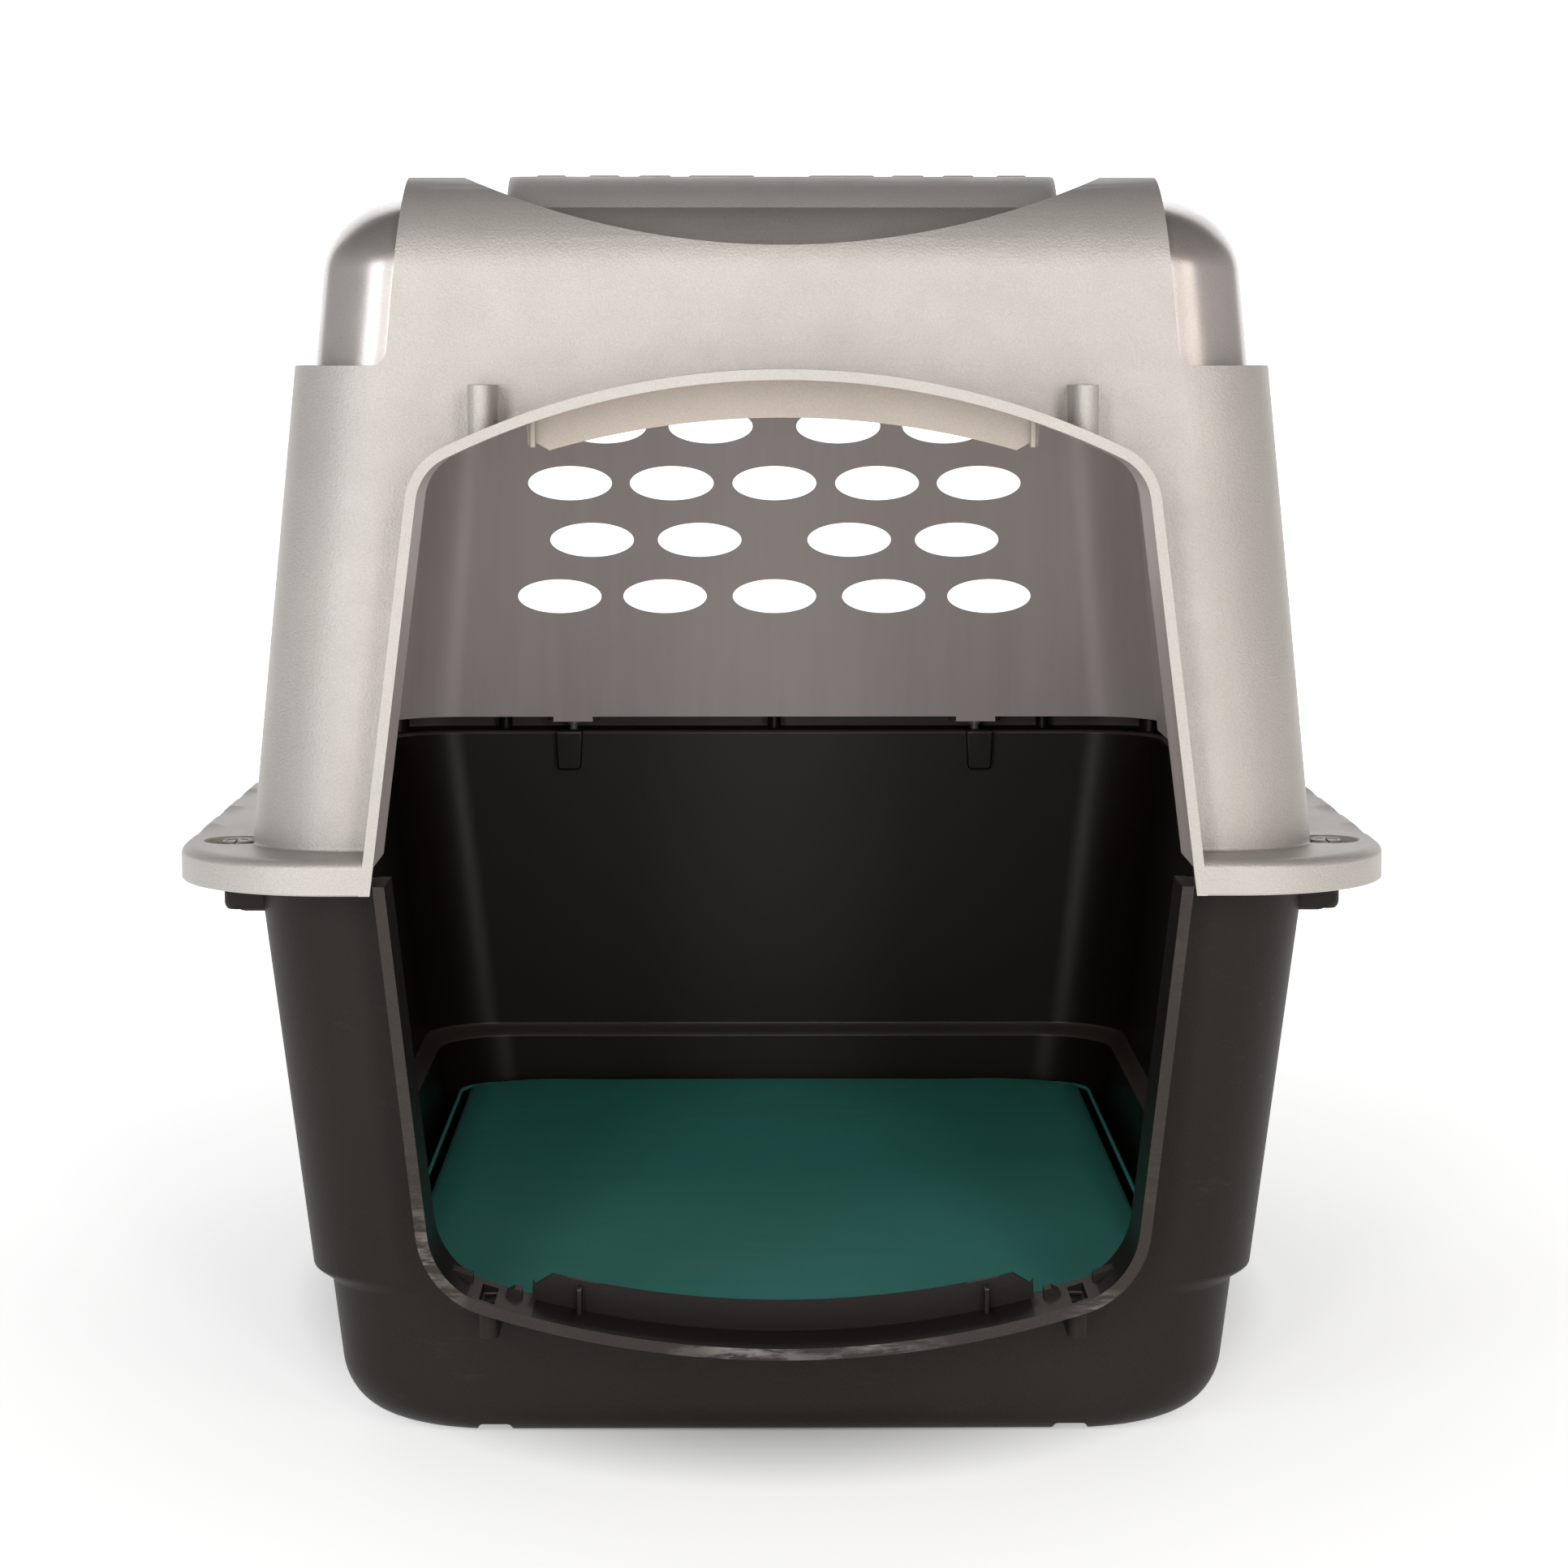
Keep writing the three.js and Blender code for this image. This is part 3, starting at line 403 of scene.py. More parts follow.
# %% Outlines and levels
def bevel(bm, geom, offset, affect, steps, clamp=False):
    bmesh.ops.bevel(bm, geom=geom, offset=offset, affect=affect, segments=steps, profile=0.5,
                    material=-1, clamp_overlap=clamp)


def verts_of(geom):
    return [g for g in geom if isinstance(g, bmesh.types.BMVert)]


def rectangle(half_x, half_y, corner, steps=14):
    """A flat rectangle with rounded corners, as one face."""
    bm = bmesh.new()
    bmesh.ops.create_grid(bm, x_segments=1, y_segments=1, size=1)
    bmesh.ops.scale(bm, vec=(half_x, half_y, 1), verts=bm.verts)
    bevel(bm, bm.verts[:], corner, "VERTICES", steps)
    return bm


def draw_in(verts, z, side, front, rear):
    for vert in verts:
        end = front if vert.co.y < 0 else rear
        vert.co.x -= side * math.copysign(1, vert.co.x)
        vert.co.y -= end * math.copysign(1, vert.co.y)
        vert.co.z = z


def pull_up(bm, levels):
    """Pulls a flat outline up through levels of (z, side, front, rear), all drawn in from it."""
    draw_in(bm.verts, *levels[0])
    face = bottom = bm.faces[:][0]
    for before, level in zip(levels, levels[1:]):
        grown = bmesh.ops.extrude_face_region(bm, geom=[face])["geom"]
        if face != bottom:
            bmesh.ops.delete(bm, geom=[face], context="FACES_ONLY")
        face = next(g for g in grown if isinstance(g, bmesh.types.BMFace))
        steps = [now - then for now, then in zip(level[1:], before[1:])]
        draw_in(verts_of(grown), level[0], *steps)
    bmesh.ops.recalc_face_normals(bm, faces=bm.faces)
    return bm


def drawn_in(radius, rise):
    """How far a rounded edge has drawn in at a height above its start."""
    rise = min(max(rise, 0), radius)
    return radius - math.sqrt(radius**2 - rise**2)


def rises(radius, steps):
    return [radius * math.sin(math.pi / 2 * k / steps) for k in range(steps + 1)]


print("a quarter round of 4 in 2 steps rises to", [round(r, 2) for r in rises(4, 2)])


# %% Simple shapes
def block(low, high):
    bm = bmesh.new()
    bmesh.ops.create_cube(bm, size=1)
    bmesh.ops.scale(bm, vec=[b - a for a, b in zip(low, high)], verts=bm.verts)
    bmesh.ops.translate(bm, vec=[(a + b) / 2 for a, b in zip(low, high)], verts=bm.verts)
    return bm


def post(radius, low_z, high_z, x, y, sides=32, top=None):
    bm = bmesh.new()
    bmesh.ops.create_cone(bm, cap_ends=True, segments=sides, radius1=radius,
                          radius2=radius if top is None else top, depth=high_z - low_z)
    bmesh.ops.translate(bm, vec=(x, y, (low_z + high_z) / 2), verts=bm.verts)
    return bm


def drum(radius_x, radius_z, x, z, low_y, high_y, sides=48):
    """A round or oval bar that lies along Y."""
    bm = bmesh.new()
    bmesh.ops.create_cone(bm, cap_ends=True, segments=sides, radius1=1, radius2=1, depth=high_y - low_y)
    bmesh.ops.rotate(bm, matrix=Matrix.Rotation(math.radians(90), 3, "X"), verts=bm.verts)
    bmesh.ops.scale(bm, vec=(radius_x, 1, radius_z), verts=bm.verts)
    bmesh.ops.translate(bm, vec=(x, (low_y + high_y) / 2, z), verts=bm.verts)
    return bm


def slab(points, low_y, high_y, steps=6):
    """A flat shape with corners at (x, z, corner radius), pushed along Y."""
    bm = bmesh.new()
    verts = [bm.verts.new((x, low_y, z)) for x, z, radius in points]
    bm.faces.new(verts)
    for vert, (x, z, radius) in zip(verts, points):
        if radius:
            bevel(bm, [vert], radius, "VERTICES", steps)
    grown = bmesh.ops.extrude_face_region(bm, geom=bm.faces[:])["geom"]
    bmesh.ops.translate(bm, vec=(0, high_y - low_y, 0), verts=verts_of(grown))
    bmesh.ops.recalc_face_normals(bm, faces=bm.faces)
    return bm


print("a post of 32 sides has", len(post(5, 0, 1, 0, 0).faces), "faces")


# %% Softening edges
def sharp_edges(bm, over=30, where=None):
    found = [e for e in bm.edges if len(e.link_faces) == 2 and e.calc_face_angle() > math.radians(over)]
    return [e for e in found if where is None or where(e)]


def soften(bm, width, steps=2, over=30, where=None):
    bevel(bm, sharp_edges(bm, over, where), width, "EDGES", steps, clamp=True)
    return bm


def above(height):
    """A test for edges that lie wholly above a height."""
    return lambda edge: all(v.co.z > height for v in edge.verts)


def below_z(height):
    return lambda edge: all(v.co.z < height for v in edge.verts)


print("a softened cube has", len(soften(block((0, 0, 0), (1, 1, 1)), 0.1).faces), "faces")


# %% Solids and booleans
def solid(bm, finish):
    """Makes an object from a shape, for joining and cutting."""
    mesh = bpy.data.meshes.new("shape")
    bm.to_mesh(mesh)
    bm.free()
    mesh.materials.append(finish)
    return placed("shape", mesh)


def combine(body, tool, how):
    """Joins, cuts or meets body with tool, which is used up."""
    step = body.modifiers.new("step", "BOOLEAN")
    step.solver = "MANIFOLD"
    step.operation = how
    step.object = tool
    step.material_mode = "TRANSFER"
    apply_modifiers(body)
    if not body.data.polygons:
        raise ValueError("a boolean left nothing")
    bpy.data.objects.remove(tool)
    return body


def join(body, *tools):
    for tool in tools:
        combine(body, tool, "UNION")
    return body


def cut(body, *tools):
    for tool in tools:
        combine(body, tool, "DIFFERENCE")
    return body


def meet(body, tool):
    return combine(body, tool, "INTERSECT")


def resoften(body, width, steps=2, over=30, where=None):
    """Softens the sharp edges of an object that booleans have made."""
    bm = bmesh.new()
    bm.from_mesh(body.data)
    bmesh.ops.remove_doubles(bm, verts=bm.verts, dist=0.001)
    soften(bm, width, steps, over, where)
    bm.to_mesh(body.data)
    bm.free()
    return body


print("boolean helpers ready")

# %% [markdown]
# ## Hood: the skin
# The hood's skin is three shapes in one: a smooth body with a big round over the roof, a pair of
# textured frames that stand 9 mm proud of it at the front and the rear, and a ribbed platform along
# the roof. Each is a function of an inset, so the same function also gives the room inside it, one
# wall smaller. That keeps the wall even everywhere, as a mould does.


# %% The smooth body
def smooth_body(inset, finish):
    top = ROOF_TOP - inset
    bulge = ROOF_ROUND - inset
    levels = []
    for z in [HOOD_PLATE_Z - (PAST if inset else 0)] + [top - bulge + rise for rise in rises(bulge, 14)]:
        drawn = drawn_in(bulge, z - (top - bulge))
        end = HOOD_END_DRAFT * (z - HOOD_PLATE_Z) + drawn
        levels.append((z, HOOD_DRAFT * (z - HOOD_PLATE_Z) + drawn, end, end))
    corner = CABIN_CORNER - FRAME_PROUD - inset
    outline = rectangle(HOOD_HALF_X - FRAME_PROUD - inset, HOOD_HALF_Y - FRAME_PROUD - inset, corner, 18)
    return solid(pull_up(outline, levels), finish)


print("smooth body made of", len(rises(ROOF_ROUND, 14)) + 1, "levels")

# %% [markdown]
# A frame is easiest to read from the front: two wide columns, and a narrower header that runs up
# between two horns. So its face is drawn as one flat shape with its corner radii, and pushed back
# along Y. Where it meets a full, rounded and drafted body, only the shared part is kept, and a large
# drum takes the curved bite out of its top. The edges are softened before it joins the body.


# %% A frame
def frame_face(inset, grow):
    """Corners of the frame's face as (x, z, radius), right side and then left."""
    shoulder = SHOULDER_Z - inset
    top = FRAME_TOP + PAST
    right = [
        (HOOD_HALF_X + grow, HOOD_PLATE_Z - 2 * PAST, 0),
        (wide_x(shoulder) + grow, shoulder, 0),
        (band_x(shoulder) - inset, shoulder, 0 if inset else 6),
        (band_x(top) - inset, top, 0),
    ]
    return right + [(-x, z, radius) for x, z, radius in reversed(right)]


def end_body(inset):
    """The full body that the frames are cut from, with a quarter round over its ends."""
    bulge = FRAME_ROUND - inset
    start = FRAME_TOP - FRAME_ROUND
    levels = []
    if inset:
        levels.append((HOOD_PLATE_Z - PAST, 0, 0, 0))
    else:
        levels.append((HOOD_PLATE_Z, -ROOT_FILLET, -ROOT_FILLET, -ROOT_FILLET))
        for turn in (0, 30, 60, 90):
            out = ROOT_FILLET * (1 - math.sin(math.radians(turn)))
            rise = ROOT_FILLET * (1 - math.cos(math.radians(turn)))
            levels.append((FLANGE_TOP - 1 + rise, -out, -out, -out))
    for rise in rises(bulge, 14):
        z = start + rise
        end = HOOD_END_DRAFT * (z - HOOD_PLATE_Z) + drawn_in(bulge, rise)
        levels.append((z, HOOD_DRAFT * (z - HOOD_PLATE_Z), end, end))
    outline = rectangle(HOOD_HALF_X - inset, HOOD_HALF_Y - inset, CABIN_CORNER - inset, 18)
    return pull_up(outline, levels)


def smile_drum(inset):
    radius = SMILE_RADIUS + inset
    centre = FRAME_TOP - SMILE_DROP + SMILE_RADIUS
    return solid(drum(radius, radius, 0, centre, -LENGTH, LENGTH, 360), grained_taupe)


def end_frame(way, inset, finish):
    """The frame at the front, way -1, or at the rear, way 1."""
    columns = (COLUMN_INNER + inset, LENGTH)
    over = (FRAME_INNER + inset, LENGTH)
    face = frame_face(inset, 8)
    low, high = sorted((way * over[0], way * over[1]))
    body = solid(slab(face, low, high), finish)
    behind = sorted((way * (over[0] - PAST), way * columns[0]))
    for side in (-1, 1):
        edge = sorted((side * (band_x(SHOULDER_Z - inset) - inset), side * WIDTH))
        cut(body, solid(block((edge[0], behind[0], 0), (edge[1], behind[1], SHOULDER_Z + 1)), finish))
    meet(body, solid(end_body(inset), finish))
    cut(body, smile_drum(inset))
    if not inset:
        resoften(body, 1.4, 3, 35, above(FLANGE_TOP + 4))
    return body


print("frame face corners", len(frame_face(0, 8)))


# %% The platform and its ribs
def platform(inset, finish):
    bulge = PLATFORM_ROUND - inset
    start = PLATFORM_TOP - PLATFORM_ROUND
    levels = [(start - PAST - inset, 0, 0, 0)]
    for rise in rises(bulge, 14):
        drawn = drawn_in(bulge, rise)
        levels.append((start + rise, 0, drawn, drawn))
    outline = rectangle(PLATFORM_HALF - inset, PLATFORM_HALF_Y - inset, 8 - inset, 6)
    bm = pull_up(outline, levels)
    if not inset:
        soften(bm, 2, 3, 40, above(start + 1))
    return solid(bm, finish)


RIB_SHARES = [(0.1, 0.345), (0.41, 0.53), (0.6, 0.715), (0.8, 0.91)]
RIB_HALF_Y = PLATFORM_HALF_Y - 62


def platform_ribs(body):
    for inner, outer in RIB_SHARES:
        for side in (-1, 1):
            edges = sorted((side * inner * PLATFORM_HALF, side * outer * PLATFORM_HALF))
            rib = block((edges[0], -RIB_HALF_Y, PLATFORM_TOP - 2), (edges[1], RIB_HALF_Y, HEIGHT))
            soften(rib, 0.9, 3, 40, above(PLATFORM_TOP))
            join(body, solid(rib, grained_taupe))
    return body


print("ribs", 2 * len(RIB_SHARES), "each", round(2 * RIB_HALF_Y), "long")

# %% [markdown]
# ## Hood: the flange
# The flange is a plate that turns down into a skirt, with its upper edge rounded and its long edges
# hollowed by finger scallops. A scallop is a flat ellipsoid, so the cut fades out softly at its ends.
# Round dishes let the fasteners' heads lie below the surface. Each dish is a turned profile with a
# small lead-in at its rim and a fillet at its floor.


# %% Flange and skirt
def flange():
    drops = [(SKIRT_Z, 0.6), (SKIRT_Z + 0.6, 0)]
    drops += [(FLANGE_TOP - 4 + rise, drawn_in(4, rise)) for rise in rises(4, 7)]
    outline = rectangle(WIDTH / 2, LENGTH / 2, FLANGE_CORNER, 24)
    body = solid(pull_up(outline, [(z, d, d, d) for z, d in drops]), grained_taupe)
    inner = rectangle(WIDTH / 2 - 3, LENGTH / 2 - 3, FLANGE_CORNER - 3, 24)
    levels = [(SKIRT_Z - PAST, 0, 0, 0), (HOOD_PLATE_Z, 0, 0, 0)]
    # The skirt's inner faces take the dark under finish, which paints the shade under the flange.
    return cut(body, solid(pull_up(inner, levels), under_taupe_painted_shade))


SCALLOP_PITCH = 69.5
SCALLOP_HALF = 25
SCALLOP_YS = [(i - 3.5) * SCALLOP_PITCH for i in range(8)]


# The scallops' backings take the dark under finish, which paints shade under the flange.
def scallop_backing(body):
    for y in SCALLOP_YS:
        for side in (-1, 1):
            xs = sorted((side * (WIDTH / 2 - 15), side * (WIDTH / 2 - 1.5)))
            low = (xs[0], y - SCALLOP_HALF, HOOD_PLATE_Z - 3)
            high = (xs[1], y + SCALLOP_HALF, HOOD_PLATE_Z + 1.5)
            join(body, solid(block(low, high), under_taupe_painted_shade))
    return body


def cut_scallops(body):
    for y in SCALLOP_YS:
        for side in (-1, 1):
            bm = bmesh.new()
            bmesh.ops.create_uvsphere(bm, u_segments=48, v_segments=24, radius=1)
            bmesh.ops.scale(bm, vec=(15, SCALLOP_HALF, 4.8), verts=bm.verts)
            bmesh.ops.translate(bm, vec=(side * WIDTH / 2, y, FLANGE_TOP + 2.4), verts=bm.verts)
            cut(body, solid(bm, grained_taupe))
    return body


print("scallops at", [round(y) for y in SCALLOP_YS])

# %% Places of the fasteners
FASTENERS = {name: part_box(name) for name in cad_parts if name.startswith("fastener")}


def middle(box):
    low, high = box
    return ((low.x + high.x) / 2 / MM, (low.y + high.y) / 2 / MM)


FASTENER_XY = {name: middle(box) for name, box in FASTENERS.items()}
print("fasteners", {name: (round(x, 1), round(y, 1)) for name, (x, y) in FASTENER_XY.items()})


# %% Dishes
DISH_Z = FLANGE_TOP - 2.5
DISH_WALL = 3.5
SHAFT_BORE = 2.7


def turned(profile, x, y, steps=40):
    """A shape turned about an upright axis from (radius, z) points, bottom to top."""
    bm = bmesh.new()
    verts = [bm.verts.new((radius, 0, z)) for radius, z in profile]
    edges = [bm.edges.new(pair) for pair in zip(verts, verts[1:])]
    bmesh.ops.spin(bm, geom=verts + edges, axis=(0, 0, 1), cent=(0, 0, 0), dvec=(0, 0, 0),
                   angle=math.tau, steps=steps, use_merge=True, use_duplicate=False)
    bmesh.ops.remove_doubles(bm, verts=bm.verts, dist=0.0005)
    bmesh.ops.recalc_face_normals(bm, faces=bm.faces)
    bmesh.ops.translate(bm, vec=(x, y, 0), verts=bm.verts)
    return bm


DISH_PROFILE = [(0, DISH_Z), (12.8, DISH_Z), (13.5, DISH_Z + 0.25), (13.8, DISH_Z + 0.9),
                (14, DISH_Z + 1.8), (14.7, FLANGE_TOP), (15.5, FLANGE_TOP + 2), (0, FLANGE_TOP + 2)]


# The dishes' pads take the dark under finish, which paints the shade below them.
def add_dish_pads(body):
    for x, y in FASTENER_XY.values():
        join(body, solid(post(15.4, DISH_Z - DISH_WALL, HOOD_PLATE_Z + 1.5, x, y, 40), under_taupe_painted_shade))
    return body


def cut_dishes(body):
    for x, y in FASTENER_XY.values():
        wall = rectangle(HOOD_HALF_X, HOOD_HALF_Y, CABIN_CORNER, 18)
        wall = solid(pull_up(wall, [(SKIRT_Z, 0, 0, 0), (FLANGE_TOP + 9, 0, 0, 0)]), grained_taupe)
        cut(body, cut(solid(turned(DISH_PROFILE, x, y), grained_taupe), wall))
        cut(body, solid(post(SHAFT_BORE, DISH_Z - 9, DISH_Z + PAST, x, y, 20), inside_taupe_shade_and_glow))
    return body


print("dish floor at", DISH_Z)

# %% [markdown]
# ## The doorway
# The doorway is one opening made by two mouldings, so the same function draws both halves: leaning
# sides that end in a wide arch, the right way up for the hood and turned over for the sill. The arch
# is the shared part of a leaning block and a drum. Each corner is cut off along a chord and filled up
# again with a small drum that touches the side and the arch, which gives a true fillet. A collar is
# such a shape with a smaller one taken out of it, and its front edges are rounded.


# %% Half of the doorway
def corner_round(half, grow):
    """The fillet at a corner: its middle, its radius, and where it leaves the side and the arch."""
    radius = half["round"] + grow
    slope = math.hypot(1, half["lean"])
    inner = half["half"] + grow - radius * slope
    arch_middle = half["apex"] - half["arch"]
    reach = half["arch"] + grow - radius
    share = inner * half["lean"] + arch_middle
    root = share**2 - slope**2 * (inner**2 + arch_middle**2 - reach**2)
    rise = (share + math.sqrt(root)) / slope**2
    middle = Vector((inner - half["lean"] * rise, rise))
    to_side = Vector((1, half["lean"])).normalized()
    to_arch = (middle - Vector((0, arch_middle))).normalized()
    return middle, radius, to_side, to_arch


def door_block(half, grow, start, way, low_y, high_y, finish):
    """One half of the doorway's shape, from a rise above the joint up to its arch."""
    apex = half["apex"] + grow
    arch = half["arch"] + grow

    def side(rise):
        return half["half"] + grow - half["lean"] * rise

    top = apex + PAST
    corners = [(side(start), RIM_Z + way * start, 0), (side(top), RIM_Z + way * top, 0)]
    corners += [(-x, z, radius) for x, z, radius in reversed(corners)]
    body = solid(slab(corners, low_y, high_y), finish)
    centre = RIM_Z + way * (apex - arch)
    meet(body, solid(drum(arch, arch, 0, centre, low_y - PAST, high_y + PAST, 360), finish))
    middle, radius, to_side, to_arch = corner_round(half, grow)
    beyond = middle + 3 * radius * (to_side + to_arch)
    off = [middle + radius * to_side, beyond, middle + radius * to_arch]
    for sign in (-1, 1):
        wedge = [(sign * x, RIM_Z + way * rise, 0) for x, rise in off]
        cut(body, solid(slab(wedge, low_y - PAST, high_y + PAST), finish))
        fillet = drum(radius, radius, sign * middle.x, RIM_Z + way * middle.y, low_y, high_y, 128)
        join(body, solid(fillet, finish))
    return body


def at_front(edge):
    return all(v.co.y < FRONT_Y + 0.01 for v in edge.verts)


def paint(body, finish, where):
    """Gives a finish to the faces whose middles pass a test."""
    if finish.name not in body.data.materials:
        body.data.materials.append(finish)
    index = body.data.materials.find(finish.name)
    for face in body.data.polygons:
        if where(face.center, face.normal):
            face.material_index = index
    return body


def collar(half, way, start, finish, inner_finish, edge_finish):
    ring = door_block(half, 0, start, way, FRONT_Y, COLLAR_BACK, finish)
    cut(ring, door_block(half, -half["wall"], start - 20, way, FRONT_Y - PAST, COLLAR_BACK + PAST,
                         inner_finish))
    resoften(ring, 1.1, 3, 40, at_front)
    return paint(ring, edge_finish, lambda middle, normal: middle.y < FRONT_Y + 0.9)


def cut_doorway(body, half, way, finish):
    """Opens the wall to the middle of the collar that is to stand in it."""
    return cut(body, door_block(half, -half["wall"] / 2, -20, way, FRONT_Y - PAST, COLLAR_BACK + 9,
                                finish))


def arch_z(half, way, x):
    return RIM_Z + way * (half["apex"] - half["arch"] + math.sqrt(half["arch"] ** 2 - x**2))


print("doorway from", round(arch_z(DOOR_SILL, -1, 0), 1), "to", round(arch_z(DOOR_TOP, 1, 0), 1))

# %% [markdown]
# Behind each arch is a stop lip, a curved blade that a door would close against, with a small rib
# near each end. It is the space between two arches of unlike radius, so it is a drum cut by another.
# Beside the sill's lip are two low blades with rounded ends. The pin sockets stand outside the
# collar: a post, tied back to the wall by a web.


# %% Stop lips
def along_y(edge):
    return abs(edge.verts[0].co.y - edge.verts[1].co.y) > 1


def free_rise(free, arch, x):
    """Rise of the blade's free edge above the joint at x."""
    return free - arch + math.sqrt(arch**2 - x**2)


def blade(half, way, depth, arch, inner, outer, front_y, wall, finish, tip=6):
    """A curved blade inside the arch, from x inner to x outer, closing it by depth."""
    top = half["apex"] - half["wall"] / 2
    free = half["apex"] - half["wall"] - depth
    lean = depth * 0.33
    low, high = free - 60, half["apex"] + PAST
    corners = [(outer, RIM_Z + way * high, 0), (outer - lean, RIM_Z + way * low, 0)]
    if inner > 0:
        corners += [(inner + lean, RIM_Z + way * low, 0), (inner, RIM_Z + way * high, 0)]
    else:
        corners += [(-x, z, radius) for x, z, radius in reversed(corners)]
    body = solid(slab(corners, front_y, front_y + wall), finish)
    for how, radius, rise in (("INTERSECT", half["arch"], top), ("DIFFERENCE", arch, free)):
        centre = RIM_Z + way * (rise - radius)
        tool = drum(radius, radius, 0, centre, front_y - PAST, front_y + 9, 360)
        combine(body, solid(tool, finish), how)
    end = outer - lean
    end_rise = free_rise(free, arch, end)
    corner = [(end - tip, free_rise(free, arch, end - tip)), (end + 1.5, end_rise + tip),
              (end + 2 * tip, end_rise - 2 * tip)]
    for sign in (-1, 1):
        wedge = [(sign * x, RIM_Z + way * rise, 0) for x, rise in corner]
        cut(body, solid(slab(wedge, front_y - PAST, front_y + wall + PAST), finish))
    tip_from = end - 1.2 * tip

    def at_tip(edge):
        return along_y(edge) and all(abs(v.co.x) > tip_from for v in edge.verts)

    resoften(body, tip * 0.3, 4, 20, at_tip)
    return resoften(body, 0.7, 2, 50)


def lip_rib(half, way, x, depth, front_y, reach, finish):
    top = arch_z(half, way, x) - way * half["wall"] / 2
    low, high = sorted((top, top - way * (half["wall"] / 2 + depth)))
    rib = block((x - 1.1, front_y - reach, low), (x + 1.1, front_y + 1, high))
    return solid(soften(rib, 0.6, 2), finish)


LIP_HALF = 110
LIP_TOP = {"depth": 16, "arch": 361, "rib": 105.5}
LIP_SILL = {"depth": 13, "arch": 417, "rib": 88}
print("lip free edge at", round(RIM_Z + DOOR_TOP["apex"] - DOOR_TOP["wall"] - LIP_TOP["depth"], 1))


# %% Pin sockets
def pin_boss(half, way, x, radius, reach, finish):
    edge = arch_z(half, way, x)
    low, high = sorted((edge - way * half["wall"] / 2, edge + way * reach))
    far = high if way > 0 else low
    body = solid(post(radius, low, high, x, PIN_Y, 40), finish)
    join(body, solid(block((x - radius, PIN_Y, low), (x + radius, COLLAR_BACK - 2, high)), finish))
    return resoften(body, 1.3, 3, 50, lambda e: all(abs(v.co.z - far) < 0.01 for v in e.verts))


def pin_bore(half, way, x, reach, finish):
    edge = arch_z(half, way, x)
    low, high = sorted((edge - way * 12, edge + way * (reach - WALL)))
    return solid(post(2.8, low, high, x, PIN_Y, 28), finish)


print("pin sockets at", (-PIN_X, PIN_X))

# %% [markdown]
# ## Vents
# The vents are flat ovals in four rows that alternate like bricks. At the rear they leave a wider gap
# in the middle, where the moulding has a plain strip. All the cutters of one direction are bars in a
# single mesh, which cuts in one go.

# %% Vent cutters
VENT_HALF = (49.5 / 2, 20.2 / 2)
VENT_PITCH = 60.6
VENT_ROWS = [RIM_Z + 80 + 33.5 * i for i in range(4)]
REAR_VENTS = [(0, 1.07, 2.1), (0.73, 1.78), (0, 1, 1.99), (0.62, 1.65)]
SIDE_VENTS = [(0, 1, 2, 3), (0.5, 1.5, 2.5), (0, 1, 2, 3), (0.5, 1.5, 2.5)]


def vent_bars(columns, low_y, high_y):
    """Bars through the vents of one wall. columns is how many pitches out each vent of a row is."""
    bm = bmesh.new()
    for z, pitches in zip(VENT_ROWS, columns):
        for x in sorted({way * VENT_PITCH * out for out in pitches for way in (-1, 1)}):
            bar = bpy.data.meshes.new("bar")
            shape = drum(*VENT_HALF, x, z, low_y, high_y, 56)
            shape.to_mesh(bar)
            shape.free()
            bm.from_mesh(bar)
            bpy.data.meshes.remove(bar)
    return bm


def cut_vents(body):
    side = vent_bars(SIDE_VENTS, -WIDTH, WIDTH)
    bmesh.ops.rotate(side, matrix=Matrix.Rotation(math.radians(90), 3, "Z"), verts=side.verts)
    # The vents' cut walls take the lighter bead finish, a painted highlight.
    cut(body, solid(vent_bars(REAR_VENTS, 250, LENGTH), bead_taupe_highlight), solid(side, bead_taupe_highlight))
    return body


print("vents", 5 + 4 + 5 + 4, "at the rear and", 7 + 6 + 7 + 6, "on each side")

# %% [markdown]
# ## Hood: putting it together
# The order matters. First everything that stands outside is joined, then the room is hollowed out,
# and then openings are cut. The collar and the lip come last, because they reach back into the room.

# %% The hood's body
hood = smooth_body(0, glossy_taupe)
join(hood, end_frame(-1, 0, grained_taupe), end_frame(1, 0, grained_taupe))
join(hood, platform(0, grained_taupe))
platform_ribs(hood)
join(hood, flange())
scallop_backing(hood)
add_dish_pads(hood)
print("hood outside", len(hood.data.polygons), "faces")

# %% The hood's room
# The room inside takes the inside finish, with its painted shade and its painted glow.
room = smooth_body(WALL, inside_taupe_shade_and_glow)
join(room, end_frame(-1, WALL, inside_taupe_shade_and_glow), end_frame(1, WALL, inside_taupe_shade_and_glow))
join(room, platform(WALL, inside_taupe_shade_and_glow))
cut(hood, room)
cut_scallops(hood)
cut_dishes(hood)
cut_vents(hood)
print("hood hollowed", len(hood.data.polygons), "faces")

# %% The hood's doorway
for x in (-PIN_X, PIN_X):
    join(hood, pin_boss(DOOR_TOP, 1, x, 5.5, 19, grained_taupe))
cut_doorway(hood, DOOR_TOP, 1, inside_taupe_shade_and_glow)
